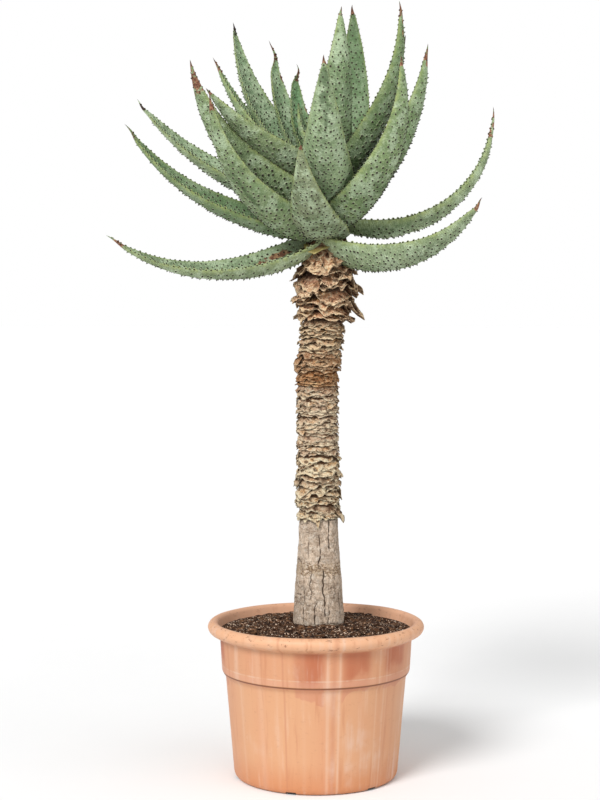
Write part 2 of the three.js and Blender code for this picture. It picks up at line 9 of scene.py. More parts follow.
import bpy
import numpy as np
from bpy.props import FloatProperty, FloatVectorProperty, IntProperty, PointerProperty
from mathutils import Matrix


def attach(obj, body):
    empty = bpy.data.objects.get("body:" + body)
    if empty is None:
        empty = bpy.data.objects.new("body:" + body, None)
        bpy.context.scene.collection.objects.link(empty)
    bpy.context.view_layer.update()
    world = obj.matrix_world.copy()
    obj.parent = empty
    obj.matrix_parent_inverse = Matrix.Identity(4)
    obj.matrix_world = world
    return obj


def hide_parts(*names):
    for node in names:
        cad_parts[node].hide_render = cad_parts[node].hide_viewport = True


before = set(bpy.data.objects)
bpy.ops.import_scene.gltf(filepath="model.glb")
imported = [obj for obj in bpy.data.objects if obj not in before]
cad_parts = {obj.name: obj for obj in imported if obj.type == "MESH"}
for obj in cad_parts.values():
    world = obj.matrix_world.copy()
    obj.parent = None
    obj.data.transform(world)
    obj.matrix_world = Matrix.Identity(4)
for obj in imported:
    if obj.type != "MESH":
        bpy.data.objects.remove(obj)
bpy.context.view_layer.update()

bl_info = {
    "name": "Potted mountain aloe",
    "version": (1, 0, 0),
    "blender": (4, 5, 0),
    "location": "View3D > Sidebar > Aloe",
    "description": "Builds the looks of a potted mountain aloe round its solid parts",
    "category": "Object",
}

MM = 0.001
# A map's unit on the leaves and leaf bases is 100 mm
MAP_UNIT = 0.01

# The stem from its foot up: height, how far its middle stands to the right, and radius
STEM = np.array([
    (130, 4, 37.5), (232, 4, 37.5), (288, 4, 34), (340, 4, 30), (379, 4, 28.5), (382, 4, 26.5),
    (578, 2, 26.5), (600, 3, 26.5), (672, 11, 26.5), (700, 13, 26), (768, 15, 24), (872, 15, 22),
    (900, 15, 14),
], float)
STEM_COLUMNS = 184
# Heights between which the bark is bare, and those between which it is rough
BARK_FOOT, BARK_TOP = 222, 386
ROUGH_LOW, ROUGH_HIGH = 301, 315
# Cracks that run up the bare bark: direction, lower end, upper end, depth
BARK_CRACKS = [
    (272, 315, 356, 1.5), (300, 341, 383, 1.6), (197, 316, 378, 1.2), (249, 268, 300, 1.2),
    (283, 243, 305, 1.6), (329, 246, 270, 1.2), (262, 228, 262, 1.4), (294, 228, 252, 1.2),
    (232, 232, 275, 1.3), (312, 268, 300, 1.0), (241, 326, 352, 0.9), (320, 330, 360, 0.9),
]
# How many further cracks run up the far side of the bark, and how many run round it
FAR_CRACKS = 16
LEVEL_CRACKS = 110

# Leaves: direction, height of the foot, length, slope at foot and at tip, width, roll
LEAVES = {
    "low_1": (190, 780, 330, -33, 38, 62, -20),
    "low_2": (326, 765, 278, -22, 56, 84, -10),
    "low_3": (85, 800, 310, 0, 45, 75, 0),
    "low_4": (255, 790, 200, 5, 80, 95, 0),
    "low_5": (2, 810, 346, -21, 95, 56, 0),
    "low_6": (110, 800, 320, 0, 45, 75, 0),
    "low_7": (175, 793, 345, 3, 58, 66, -20),
    "low_8": (60, 805, 270, 15, 50, 75, 0),
    "low_9": (160, 820, 355, 14, 51, 72, -12),
    "middle_1": (217, 788, 300, 5, 86, 75, 12),
    "middle_2": (315, 805, 302, 15, 107, 90, 12),
    "middle_3": (345, 805, 308, 35, 90, 72, -20),
    "middle_4": (205, 818, 315, 14, 81, 85, 20),
    "middle_5": (268, 825, 278, 15, 92, 90, 0),
    "middle_6": (90, 835, 250, 20, 80, 75, 0),
    "middle_7": (130, 835, 240, 15, 75, 75, 0),
    "middle_8": (28, 845, 285, 48, 80, 72, 0),
    "middle_9": (215, 857, 240, 22, 48, 84, 4),
    "upper_1": (150, 850, 290, 35, 65, 60, 10),
    "upper_2": (136, 860, 338, 30, 81, 80, 0),
    "upper_3": (14, 857, 235, 45, 85, 60, 0),
    "upper_4": (344, 865, 295, 41, 99, 72, 0),
    "upper_5": (71, 870, 328, 31, 105, 90, 10),
    "upper_6": (285, 870, 260, 52, 100, 74, 8),
    "upper_7": (125, 875, 270, 30, 90, 55, 0),
    "heart_1": (126, 890, 188, 33, 106, 48, -5),
    "heart_2": (150, 895, 105, 50, 90, 36, 0),
    "heart_3": (300, 895, 110, 60, 90, 35, 0),
}
LEAF_START = 12
LEAF_THICKNESS = 14
LEAF_CHANNEL = 0.46
LEAF_TAPER = 1.7
LEAF_FOOT = 0.22
LEAF_CLASP = 20
LEAF_ROWS, LEAF_COLUMNS = 80, 38
# Shares of the length where the skin's last ring and its point are
LEAF_LAST_RING, LEAF_POINT = 0.997, 0.9995
# How wide a leaf's foot is beside its greatest width, by how high the leaf grows
FOOT_SHARE = {"low": 0.86, "middle": 0.66, "upper": 0.5, "heart": 0.6}
# Leaves of a form of their own: share of the width at the foot, clasp, channel and taper. The
# front leaf has a shallow channel, a long even taper and a foot that hardly clasps the stem
OWN_FORMS = {"low_4": (0.8, 5, 0.1, 1.25), "middle_1": (0.5, 20, 0.46, 1.7)}
# Dry tips: share of the leaf that is dry, how far the tip curls, and how dark it is
TIPS = {
    "upper_7": (0.14, 5, 0.45), "heart_1": (0.13, 4, 0.4), "upper_2": (0.06, 1, 1.0),
    "middle_4": (0.15, 1, 0.3), "upper_1": (0.09, 1, 0.3), "low_9": (0.07, 2, 0.9),
    "low_7": (0.08, 2, 0.6), "low_5": (0.13, 3, 0.1), "low_2": (0.07, 2, 0.1),
    "middle_1": (0.08, 1, 0.2), "upper_4": (0.08, 1, 0.25), "low_1": (0.09, 2, 0.2),
    "middle_8": (0.12, 1, 0.9), "middle_2": (0.06, 1, 0.1), "middle_3": (0.10, 1, 0.2),
}
PLAIN_TIP = (0.05, 1, 0.3)
# How grey and how pale a leaf's skin is, from 0 to 1. Paleness below 0 is painted shade, a darker
# green on leaves that stand in shade. Other leaves have the last pair
TONES = {
    "low_4": (0.95, 0.0), "low_2": (0.6, 0.9), "low_5": (0.6, 0.8),
    "low_1": (0.6, 0.6), "low_7": (0.45, -1.0), "low_9": (0.45, 0.6),
    "middle_1": (0.6, -0.4), "middle_2": (0.4, 0.0), "middle_3": (0.4, -0.5),
    "middle_4": (0.45, 0.1), "middle_5": (0.3, 0.8), "middle_9": (0.6, -0.2),
    "upper_2": (0.15, 0.9), "upper_4": (0.45, -0.5), "upper_5": (0.45, -0.9),
    "upper_6": (0.15, 0.7), "upper_7": (0.15, 0.9), "heart_1": (0.0, -0.2),
}
PLAIN_TONE = (0.3, 0.4)
# Bruises, dark green: share of the leaf's length, direction round it, half length, half width.
# The one on low_7 is painted shade along its dark lower face
BRUISES_AND_SHADE = {
    "low_4": [(0.42, 280, 5, 5)], "low_7": [(0.42, 276, 70, 8)], "low_9": [(0.35, 250, 50, 4)],
    "middle_1": [(0.5, 255, 40, 4)], "middle_2": [(0.36, 254, 32, 9)],
    "middle_5": [(0.70, 264, 26, 5), (0.79, 270, 12, 7), (0.74, 260, 9, 9), (0.89, 268, 16, 10)],
    "upper_4": [(0.3, 262, 40, 8), (0.5, 250, 40, 5)],
}
# Scars: share of the leaf's length, direction round it, half length, half width, dryness
SCARS = {
    "low_1": [(0.18, 60, 20, 7, 1.0), (0.27, 72, 12, 4, 0.8)], "low_5": [(0.26, 60, 20, 4, 1.0)],
    "low_2": [(0.36, 60, 6, 5, 0.9), (0.72, 40, 5, 5, 1.0)],
    "middle_1": [(0.88, 60, 8, 4, 0.8)], "middle_5": [(0.20, 290, 6, 4, 0.9)],
    "upper_4": [(0.84, 285, 4, 3, 1.0), (0.90, 262, 6, 3, 0.9)],
    "upper_6": [(0.80, 180, 12, 3, 0.7)], "upper_7": [(0.78, 20, 8, 3, 0.8)],
    "heart_1": [(0.62, 20, 7, 3, 0.8)],
}

# Prickle: radius and height of each ring from the skin up, how dark it is and how pale
PRICKLE_RINGS = [(3.0, -0.35, 0.0, 0.1), (1.95, 0.75, 0.45, 0.9), (1.45, 1.2, 1.0, 0.0)]
# Its point: how far it leans to the leaf's tip, and how high it stands
PRICKLE_POINT = (1.1, 3.4)
PRICKLE_SIDES = 6
TOOTH_SPACING = 7.5
# Shares of a leaf's length between which its prickles and its teeth grow
PRICKLES_FROM, PRICKLES_TO = 0.10, 0.965
TEETH_FROM, TEETH_TO = 0.06, 0.97

# Dead leaf bases: foot, top, rows, inner and hem radius, hang beside the row's height, how
# pointed, ripple, curl, thickness, lean to one side, how the grain is drawn out across and
# down, and the colours of body, gaps and hems. The gaps' colour is painted shade between and
# under the bases, and their dark grain and flecks; the hems' colour is their pale dry edge
# with a painted highlight where it catches the light, and pale flecks
BASES = {
    "straw": dict(
        foot=383, top=477, rows=13, inner=27.5, hem=33.8, hang=1.9, point=0.1, ripple=1.6,
        curl=0.8, thick=1.1, lean=3.5, grain=(26, 90, 1), seed=11, slot="dead_straw",
        body=(0.98, 0.72, 0.45), gap=(0.09, 0.04, 0.018), edge=(1.0, 0.88, 0.62)),
    "grey": dict(
        foot=477, top=578, rows=23, inner=27.5, hem=31.6, hang=2.2, point=0.05, ripple=1.3,
        curl=0.4, thick=0.9, lean=2.5, grain=(26, 110, 1), seed=12, slot="dead_grey",
        body=(0.94, 0.66, 0.43), gap=(0.09, 0.042, 0.02), edge=(1.0, 0.85, 0.60)),
    "red_brown": dict(
        foot=578, top=600, rows=5, inner=27.5, hem=31.8, hang=2.2, point=0.05, ripple=1.2,
        curl=0.8, thick=0.9, lean=2.5, grain=(26, 100, 1), seed=13, slot="dead_brown",
        body=(0.62, 0.31, 0.14), gap=(0.05, 0.018, 0.008), edge=(0.98, 0.68, 0.38)),
    "cream": dict(
        foot=600, top=672, rows=14, inner=27.5, hem=33.6, hang=2.0, point=0.1, ripple=1.5,
        curl=0.7, thick=1.0, lean=3.0, grain=(26, 95, 1), seed=14, slot="dead_straw",
        body=(0.92, 0.59, 0.34), gap=(0.06, 0.024, 0.01), edge=(1.0, 0.82, 0.54)),
    "crown": dict(
        foot=672, top=794, rows=10, inner=29, hem=45, hang=1.9, point=0.3, ripple=3.0,
        curl=2.8, thick=1.5, lean=7.0, grain=(45, 22, 1), seed=15, slot="dead_brown",
        body=(0.72, 0.36, 0.19), gap=(0.035, 0.012, 0.005), edge=(1.0, 0.78, 0.50)),
}
ROW_BASES = 3
# Points down the outside of a base, and the distance between those across it
BASE_ROWS = 9
BASE_COLUMN = 2.4
# The radius at which a base's span in degrees gives its breadth
SPAN_RADIUS = 31
# The tube under the bases, painted dark as the shade under them
TUBE_COLUMNS = 72
TUBE_BORE = 26.8

# Bases that start above this height are pressed flat by the leaves' feet: greatest hem radius
PRESSED_ABOVE = 768
PRESSED_HEM = 32
# Where the sleeves are stained rust red: heights, and how far the stain fades out past them
RUST = dict(low=579, high=618, fade=9)
# Heights, in metres, over which the sleeves grow dark in the shade of the leaves
CROWN_SHADE = (0.750, 0.790)
# Single loose bases: direction, top, span, hang, hem radius, how pointed, freshness
LOOSE_BASES = {
    "crown": [
        (352, 704, 46, 26, 60, 0.8, 0.0), (338, 700, 40, 24, 55, 0.8, 0.0),
        (6, 736, 44, 20, 56, 0.8, 0.0), (356, 776, 50, 26, 56, 0.6, 0.0),
        (176, 752, 44, 24, 52, 0.8, 0.0), (186, 778, 50, 26, 52, 0.7, 0.0),
        (279, 770, 74, 42, 49, 1.0, 0.0), (246, 786, 70, 26, 44, 0.9, 0.5),
        (312, 752, 70, 30, 48, 0.5, 0.0),
    ],
    "cream": [(184, 626, 80, 20, 37, 0.3, 0.0), (200, 615, 70, 14, 36, 0.3, 0.0)],
    "straw": [
        (334, 398, 44, 35, 40, 0.5, 0.0), (264, 392, 22, 26, 34, 0.9, 0.0),
        (190, 440, 50, 14, 36, 0.5, 0.0), (350, 455, 60, 15, 36, 0.4, 0.0),
    ],
}

# Pot: half of its outline, from the middle of the foot out, up, over the rim and down inside
POT_OUTLINE = [
    (0, 0), (114, 0), (118.5, 1.6), (121, 7), (133, 149), (138.5, 157), (141.5, 207), (149.5, 210),
    (157, 214), (160, 221), (158, 226.5), (153, 230), (148, 230), (144.5, 227), (142, 218),
    (138.9, 207), (135.9, 158), (130.4, 150), (118.8, 9), (115.4, 3), (0, 3),
]
# How far the outline's corners are rounded, and how far apart its points are
POT_ROUNDING = 3.2
POT_STEP = 5.0
# Degrees between the pot's columns
POT_TURN = 1.25
# Heights of the raised line on the band, of the uneven wall and of the uneven lip
POT_LINE = 163.5
POT_WALL = (12, 205)
POT_LIP = (222, 240)
NOTCH = dict(count=6, first=12, half_width=7.5, height=3.4, inner=100, floor=2.2, wall=118)
# Drain notches in degrees: half the width of one, and the directions of their middles
NOTCH_HALF = math.degrees(NOTCH["half_width"] / NOTCH["wall"])
NOTCH_MIDDLES = NOTCH["first"] + np.arange(NOTCH["count"]) * 360 / NOTCH["count"]
# Streaks down the pot: direction, half width in degrees, and how pale (above 0) or dark they are
POT_STREAKS = [
    (276.8, 1.3, 0.75), (280.2, 2.2, -0.6), (283.5, 1.2, 0.8), (245, 1.5, 0.3), (233, 3.0, 0.4),
    (250, 0.5, -0.7), (253, 0.5, -0.6), (258, 0.6, -0.5), (262, 1.6, 0.25), (310, 0.6, 0.5),
    (313, 0.5, -0.5), (316, 0.7, 0.5), (319, 0.5, 0.4), (328, 2.0, -0.35), (215, 1.5, 0.4),
]
# Terracotta patches on the band: direction in degrees and half width in degrees
POT_STAINS = [(265.5, 9), (294, 9), (324, 10), (10, 14), (60, 9), (105, 12), (150, 9), (190, 8)]
# Belts of colour round the pot, in metres: where each begins, is full, thins out and ends.
# Under is a painted shadow line under the band's lip, and shade is painted shade below it
POT_BELTS = dict(
    band=(0.157, 0.1585, 0.205, 0.210), strip=(0.158, 0.159, 0.165, 0.166),
    ridge=(0.1655, 0.1665, 0.1675, 0.1685), seep=(0.140, 0.1425, 0.156, 0.157),
    under=(0.1545, 0.1555, 0.157, 0.158), shade=(0.148, 0.1555, 0.157, 0.158))
# Heights, in metres, between which the foot's colour ends, stains deepen and the rim starts
POT_FOOT_COLOUR = (0.0, 0.055)
POT_STAIN_RISE = (0.160, 0.182)
POT_RIM = (0.206, 0.212)

# Soil: radius and height of its edge, its height at the stem, its gap to the pot, radius and
# floor of the hole for the stem, how high its lumps are, and grit's size beside a chip's
SOIL = dict(edge_radius=141.1, edge=216, at_stem=227, gap=0.3, hole=38.1, hole_floor=129.7,
            lump=1.8, grit=0.27)
SOIL_COLUMNS, SOIL_RINGS = 192, 45
# How uneven a chip of bark and a bit of grit are, and how long and how tall beside its width
CHIP_FORM = (0.35, 1.6, 0.6)
GRIT_FORM = (0.15, 1, 0.9)

# Where the photograph was taken from, in metres, and the lens
CAMERA = dict(place=(-0.0235, -2.4222, 0.6694), down=2.706, lens=74.25, sensor=36)
# Lights: height of the light over the floor, turn from the front (left is below 0), spread
KEY_LIGHT = (38, -32, 24)
FILL_LIGHT = (28, 48, 70)
# The floor's height in metres, just under the pot's foot
FLOOR_LEVEL = -0.0004


# Numbers drawn over space

def smooth(value):
    """Rises from 0 to 1 as value does, level at both ends: its square three times, less its
    cube twice."""
    value = np.clip(value, 0.0, 1.0)
    return value * value * (3 - 2 * value)


def lerp(one, other, share):
    """The value a share of the way from one to the other."""
    return one + (other - one) * share


def window(value, low, high, fade):
    """1 between low and high, falling to 0 over a fade outside them."""
    return smooth((value - low) / fade + 1) * smooth((high - value) / fade + 1)


def wrapped(angle):
    """The angle in radians, brought to between minus and plus half a turn."""
    return np.angle(np.exp(1j * angle))


def full_turn(count):
    """Even angles in radians all the way round."""
    return np.arange(count) / count * 2 * np.pi


def cell_value(cells, seed):
    """A number from -1 to 1 for each whole-number cell, by multiplying and folding its bits."""
    mixed = cells @ np.array([374761393, 668265263, 1440662683]) + seed * 974634777
    mixed = (mixed ^ (mixed >> 13)) * 1274126177 & 0x7FFFFFFF
    mixed = (mixed ^ (mixed >> 15)) * 461845907 & 0x7FFFFFFF
    return (mixed ^ (mixed >> 11)) % 65536 / 32767.5 - 1


def noise(*axes, seed=0, layers=1):
    """Smooth noise from -1 to 1: cell values blended between the corners of unit cells. Each
    further layer has half the size and half the strength."""
    places = np.stack(np.broadcast_arrays(*axes, *[0.0] * (3 - len(axes))), -1).astype(float)
    total = 0.0
    for layer in range(layers):
        spot = places * 2 ** layer
        corner = np.floor(spot).astype(np.int64)
        near = smooth(spot - corner)
        for step in np.ndindex(2, 2, 2):
            weight = np.prod(np.where(step, near, 1 - near), -1)
            total = total + weight * cell_value(corner + np.array(step), seed + layer) / 2 ** layer
    return total / (2 - 0.5 ** (layers - 1))


def directions(turn):
    """Unit vectors outward at each turn, in radians."""
    return np.stack([np.cos(turn), np.sin(turn), np.zeros_like(turn)], -1)


def map_grid(across, along):
    """Map places for a grid, from the places of its columns and of its rows."""
    return np.stack(np.meshgrid(across, along), -1)


# Meshes

class Shape:
    """Grids and repeated small forms gathered into one mesh, with values at each point."""

    def __init__(self):
        self.points, self.faces, self.maps, self.values, self.count = [], [], [], {}, 0

    def add_points(self, points, values):
        """Adds points of any grid form and gives their numbers in that form."""
        flat = points.reshape(-1, 3)
        for label, value in values.items():
            rows = self.values.setdefault(label, [np.zeros(self.count)])
            rows.append(np.broadcast_to(value, points.shape[:-1]).ravel())
        self.points.append(flat)
        self.count += len(flat)
        for label, rows in self.values.items():
            short = self.count - sum(map(len, rows))
            if short:
                rows.append(np.zeros(short))
        return np.arange(self.count - len(flat), self.count).reshape(points.shape[:-1])

    def add_faces(self, corners, places):
        """Adds faces, one row of corner numbers each, with the map place of each corner."""
        self.faces.append(corners)
        self.maps.append(places.reshape(-1, 2))

    def grid(self, points, places, values, wrap=(False, False), flip=False):
        """A skin over a grid of points. It looks towards columns x rows, or away with flip.
        A wrapped side has one more map place than points, so the map doesn't run back."""
        numbers = self.add_points(points, values)
        rows, columns = numbers.shape
        row = np.arange(rows if wrap[0] else rows - 1)[:, None]
        column = np.arange(columns if wrap[1] else columns - 1)[None, :]
        steps = [(0, 0), (0, 1), (1, 1), (1, 0)]
        if flip:
            steps.reverse()
        corners = [numbers[(row + a) % rows, (column + b) % columns] for a, b in steps]
        spots = [places[row + a, column + b] for a, b in steps]
        self.add_faces(np.stack(corners, -1).reshape(-1, 4), np.stack(spots, -2))
        return numbers

    def fan(self, ring, point, place, values, flip=False):
        """Closes a ring to one point. It looks along the ring's own turn, or away with flip."""
        hub = self.add_points(np.array([point]), values)[0]
        following = np.roll(ring, -1)
        ends = [following, ring] if flip else [ring, following]
        corners = np.stack([*ends, np.full(len(ring), hub)], -1)
        self.add_faces(corners, np.broadcast_to(place, (len(ring), 3, 2)))

    def copies(self, form, places, sides, sizes, map_places, values):
        """One small form at each place, turned to the place's three directions and scaled."""
        points, faces, own = form
        turned = places[:, None] + np.einsum("kc,ncd->nkd", points, sides) * sizes[:, None, None]
        given = {label: np.broadcast_to(np.reshape(value, (-1, 1)), turned.shape[:2])
                 for label, value in values.items()}
        given.update({label: np.broadcast_to(value, turned.shape[:2])
                      for label, value in own.items()})
        numbers = self.add_points(turned, given)
        for rows in faces:
            corners = numbers[:, rows].reshape(-1, rows.shape[1])
            repeats = np.repeat(map_places, rows.size, axis=0)
            self.add_faces(corners, repeats)

    def build(self, name, material, slot, *nodes):
        """Makes the piece: it rides on the plant and stands for the named solid parts."""
        mesh = bpy.data.meshes.new(name)
        points = np.concatenate(self.points) * MM
        mesh.vertices.add(len(points))
        mesh.vertices.foreach_set("co", points.astype(np.float32).ravel())
        corners = np.concatenate([rows.ravel() for rows in self.faces])
        sizes = np.concatenate([np.full(len(rows), rows.shape[1]) for rows in self.faces])
        mesh.loops.add(len(corners))
        mesh.loops.foreach_set("vertex_index", corners.astype(np.int32))
        mesh.polygons.add(len(sizes))
        mesh.polygons.foreach_set("loop_start", (np.cumsum(sizes) - sizes).astype(np.int32))
        mesh.update(calc_edges=True)
        mesh.polygons.foreach_set("use_smooth", np.ones(len(sizes), bool))
        layer = mesh.uv_layers.new(name="UVMap")
        layer.data.foreach_set("uv", np.concatenate(self.maps).astype(np.float32).ravel())
        for label, rows in self.values.items():
            attribute = mesh.attributes.new(label, "FLOAT", "POINT")
            attribute.data.foreach_set("value", np.concatenate(rows).astype(np.float32))
        if mesh.validate():
            raise RuntimeError(f"{name} has faces that can't be used")
        mesh.materials.append(material)
        piece = bpy.data.objects.new(name, mesh)
        bpy.context.scene.collection.objects.link(piece)
        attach(piece, "root")
        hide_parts(*nodes)


# Materials

class Nodes:
    """Short ways to place and join shader nodes in one tree, and the colour made so far."""

    def __init__(self, tree):
        self.tree = tree
        self.colour = None

    def add(self, kind, inputs=None, **settings):
        """A node, with its settings and inputs."""
        node = self.tree.nodes.new(kind)
        for label, value in settings.items():
            setattr(node, label, value)
        for label, value in (inputs or {}).items():
            self.give(node.inputs[label], value)
        return node

    def give(self, socket, value):
        """Joins a socket to another, or sets its plain value."""
        if isinstance(value, bpy.types.NodeSocket):
            self.tree.links.new(value, socket)
        elif socket.type == "RGBA":
            socket.default_value = (*value, 1.0)[:4]
        else:
            socket.default_value = value

    def value(self, label):
        """The mesh's own values of that label."""
        return self.add("ShaderNodeAttribute", attribute_name=label).outputs["Fac"]

    def place(self, label="Object"):
        """Places on the object, or on its map with UV."""
        return self.add("ShaderNodeTexCoord").outputs[label]

    def stretch(self, vector, scale):
        """Places drawn out or pressed along each direction."""
        node = self.add("ShaderNodeVectorMath", {0: vector, 1: scale}, operation="MULTIPLY")
        return node.outputs[0]

    def height(self, vector):
        """How high each place is, in metres."""
        return self.add("ShaderNodeSeparateXYZ", {0: vector}).outputs[2]

    def math(self, operation, first, *others):
        """The first value with each further one joined to it by the operation."""
        for other in others or (0.0,):
            node = self.add("ShaderNodeMath", {0: first, 1: other}, operation=operation)
            first = node.outputs[0]
        return first

    def times(self, *values):
        return self.math("MULTIPLY", *values)

    def plus(self, *values):
        return self.math("ADD", *values)

    def span(self, value, low, high, start=0.0, end=1.0):
        """Start where value is low, end where it is high, and smooth between."""
        inputs = {"Value": value, "From Min": low, "From Max": high, "To Min": start, "To Max": end}
        return self.add("ShaderNodeMapRange", inputs, interpolation_type="SMOOTHSTEP").outputs[0]

    def belt(self, value, begins, full, thins, ends, strength=1.0):
        """The strength between full and thins, falling to 0 at begins and ends."""
        rising = self.span(value, begins, full, 0.0, strength)
        return self.times(rising, self.span(value, ends, thins))

    def mix(self, share, one, other):
        """A colour the share of the way from one to the other."""
        return self.add("ShaderNodeMix", {0: share, 6: one, 7: other}, data_type="RGBA").outputs[2]

    def coat(self, share, colour):
        """Lays a colour over the colour made so far, by a share from 0 to 1."""
        self.colour = self.mix(share, self.colour, colour)

    def noise(self, vector, scale, detail=3.0, roughness=0.55):
        inputs = {"Vector": vector, "Scale": scale, "Detail": detail, "Roughness": roughness}
        return self.add("ShaderNodeTexNoise", inputs).outputs["Fac"]

    def group(self, tree, inputs):
        return self.add("ShaderNodeGroup", inputs, node_tree=tree).outputs

    def surface(self, roughness, relief=None, strength=0.0, depth=0.0):
        """Gives the shader the colour made so far, its roughness, and its relief with a depth
        in metres."""
        shader = self.tree.nodes["Principled BSDF"].inputs
        self.give(shader["Base Color"], self.colour)
        self.give(shader["Roughness"], roughness)
        if relief is not None:
            inputs = {"Height": relief, "Strength": strength, "Distance": depth}
            self.give(shader["Normal"], self.add("ShaderNodeBump", inputs).outputs[0])


def node_group(name, inputs, outputs, fill):
    """A group of shader nodes with named sockets, made once. fill gives its outputs."""
    tree = bpy.data.node_groups.get(name)
    if tree:
        return tree
    tree = bpy.data.node_groups.new(name, "ShaderNodeTree")
    for label, (kind, default) in inputs.items():
        socket = tree.interface.new_socket(label, in_out="INPUT", socket_type="NodeSocket" + kind)
        socket.default_value = default
    for label, kind in outputs.items():
        tree.interface.new_socket(label, in_out="OUTPUT", socket_type="NodeSocket" + kind)
    nodes = Nodes(tree)
    given = tree.nodes.new("NodeGroupInput").outputs
    made = fill(nodes, given)
    end = tree.nodes.new("NodeGroupOutput")
    for label, socket in made.items():
        tree.links.new(socket, end.inputs[label])
    return tree


def blotches():
    """Uneven colour: soft patches and fine specks of a second colour over the first."""
    def fill(nodes, given):
        patches = nodes.noise(given["Vector"], given["Scale"], 4.0, 0.6)
        finer = nodes.noise(given["Vector"], nodes.times(given["Scale"], 9.0), 3.0)
        both = nodes.plus(nodes.span(patches, 0.35, 0.7), nodes.span(finer, 0.45, 0.75))
        share = nodes.times(both, given["Amount"])
        return {"Colour": nodes.mix(share, given["Colour"], given["Second"]), "Height": finer}
    colour = ("Color", (0.5, 0.5, 0.5, 1))
    inputs = {"Colour": colour, "Second": colour, "Vector": ("Vector", (0, 0, 0)),
              "Scale": ("Float", 20.0), "Amount": ("Float", 0.3)}
    return node_group("Blotches", inputs, {"Colour": "Color", "Height": "Float"}, fill)


def fibres():
    """Long thin lines: noise drawn out along one direction, from 0 to 1."""
    def fill(nodes, given):
        drawn = nodes.stretch(given["Vector"], given["Stretch"])
        return {"Lines": nodes.span(nodes.noise(drawn, 1.0, 4.0, 0.65), 0.3, 0.7)}
    inputs = {"Vector": ("Vector", (0, 0, 0)), "Stretch": ("Vector", (50, 4, 1))}
    return node_group("Fibres", inputs, {"Lines": "Float"}, fill)


def mottle(nodes, vector, colour, second, scale, amount):
    """Makes the colour an uneven one, and gives the fine specks in it as values."""
    inputs = {"Colour": colour, "Second": second, "Vector": vector, "Scale": scale,
              "Amount": amount}
    made = nodes.group(blotches(), inputs)
    nodes.colour = made["Colour"]
    return made["Height"]


def drawn_lines(nodes, vector, stretch):
    """Long thin lines along one direction, as values."""
    return nodes.group(fibres(), {"Vector": vector, "Stretch": stretch})["Lines"]


def new_material(name, specular):
    """A material, with its nodes ready for its colour, roughness and relief."""
    material = bpy.data.materials.new(name)
    material.use_nodes = True
    shader = material.node_tree.nodes["Principled BSDF"]
    shader.inputs["Specular IOR Level"].default_value = specular
    return material, Nodes(material.node_tree)


# Stem

def stem_offset(height):
    """How far right the stem's middle is, between the table's heights."""
    return np.interp(height, STEM[:, 0], STEM[:, 1])


def stem_radius(height):
    """The stem's radius, between the table's heights."""
    return np.interp(height, STEM[:, 0], STEM[:, 2])


def round_stem(turn, radius, height):
    """Points round the stem's middle line: the direction times the radius, from the middle."""
    middle = np.stack(np.broadcast_arrays(stem_offset(height), 0.0, height), -1)
    return middle + directions(turn) * radius[..., None]


def bark_cracks(turn, height):
    """How open the bark is, from 0 to 1. Upright cracks wander as they rise; level cracks
    run part of the way round and wave. Each falls off to its sides as a bell curve does."""
    rng = np.random.default_rng(5)
    upright = list(BARK_CRACKS)
    for _ in range(FAR_CRACKS):
        low = rng.uniform(225, 350)
        at, high = rng.uniform(0, 180), low + rng.uniform(20, 60)
        upright.append((at, low, high, rng.uniform(0.8, 1.5)))
    open_bark = np.zeros(np.broadcast(turn, height).shape)
    radius = stem_radius(height)
    for number, (at, low, high, deep) in enumerate(upright):
        wander = 0.09 * noise(height / 11, seed=number, layers=3)
        away = wrapped(turn - math.radians(at) - wander) * radius
        width = 0.9 + 0.6 * noise(height / 5, seed=number + 90)
        line = np.exp(-(away / width) ** 2) * window(height, low, high, 7) * deep / 1.6
        open_bark = np.maximum(open_bark, line)
    for number in range(LEVEL_CRACKS):
        at, level = rng.uniform(0, 2 * np.pi), rng.uniform(226, 384)
        span, deep = rng.uniform(0.06, 0.32), rng.uniform(0.3, 0.8)
        slant = rng.uniform(-9, 9)
        beside = wrapped(turn - at)
        wave = 2.6 * noise(turn * 9, seed=number + 40, layers=3) + slant * beside
        line = np.exp(-((height - level - wave) / 0.6) ** 2)
        line = line * smooth((span - np.abs(beside)) / 0.12 + 1)
        open_bark = np.maximum(open_bark, line * deep)
    return open_bark


def make_stem(settings):
    """The stem: a ring of points at each height, at the stem's radius, with plates and grain
    raised on the bare bark, and sunk where the bark is cracked."""
    foot, top = STEM[0], STEM[-1]
    heights = np.concatenate([
        np.arange(foot[0], BARK_FOOT, 15), np.arange(BARK_FOOT, BARK_TOP, 1.25),
        np.arange(BARK_TOP + 4, top[0], 24), [top[0]]])
    turns, rows = np.meshgrid(full_turn(STEM_COLUMNS), heights)
    cracks = bark_cracks(turns, rows)
    x, y = np.cos(turns) * 3.2, np.sin(turns) * 3.2
    plates = noise(x, y, rows / 14, seed=1, layers=3)
    grain = noise(x * 5, y * 5, rows / 3, seed=2, layers=2)
    rough = window(rows, ROUGH_LOW, ROUGH_HIGH, 4)
    bare = smooth((rows - BARK_FOOT) / 8) * smooth((BARK_TOP - 2 - rows) / 6)
    relief = 1.1 * plates + (0.35 + 0.45 * rough) * grain - settings.crack_depth / MM * cracks
    points = round_stem(turns, stem_radius(rows) + bare * relief, rows)
    places = map_grid(np.arange(STEM_COLUMNS + 1) * 0.01, heights * MAP_UNIT)
    shape = Shape()
    values = {"crack": cracks * bare, "rough": rough, "plate": plates, "inside": 1 - bare}
    rings = shape.grid(points, places, values, wrap=(False, True))
    shape.fan(rings[0], (foot[1], 0, foot[0]), (0, 0), {}, flip=True)
    shape.fan(rings[-1], (top[1], 0, top[0] + 4), (0, 0), {})
    shape.build("stem_bark", bark_material(settings), "bark", "stem")


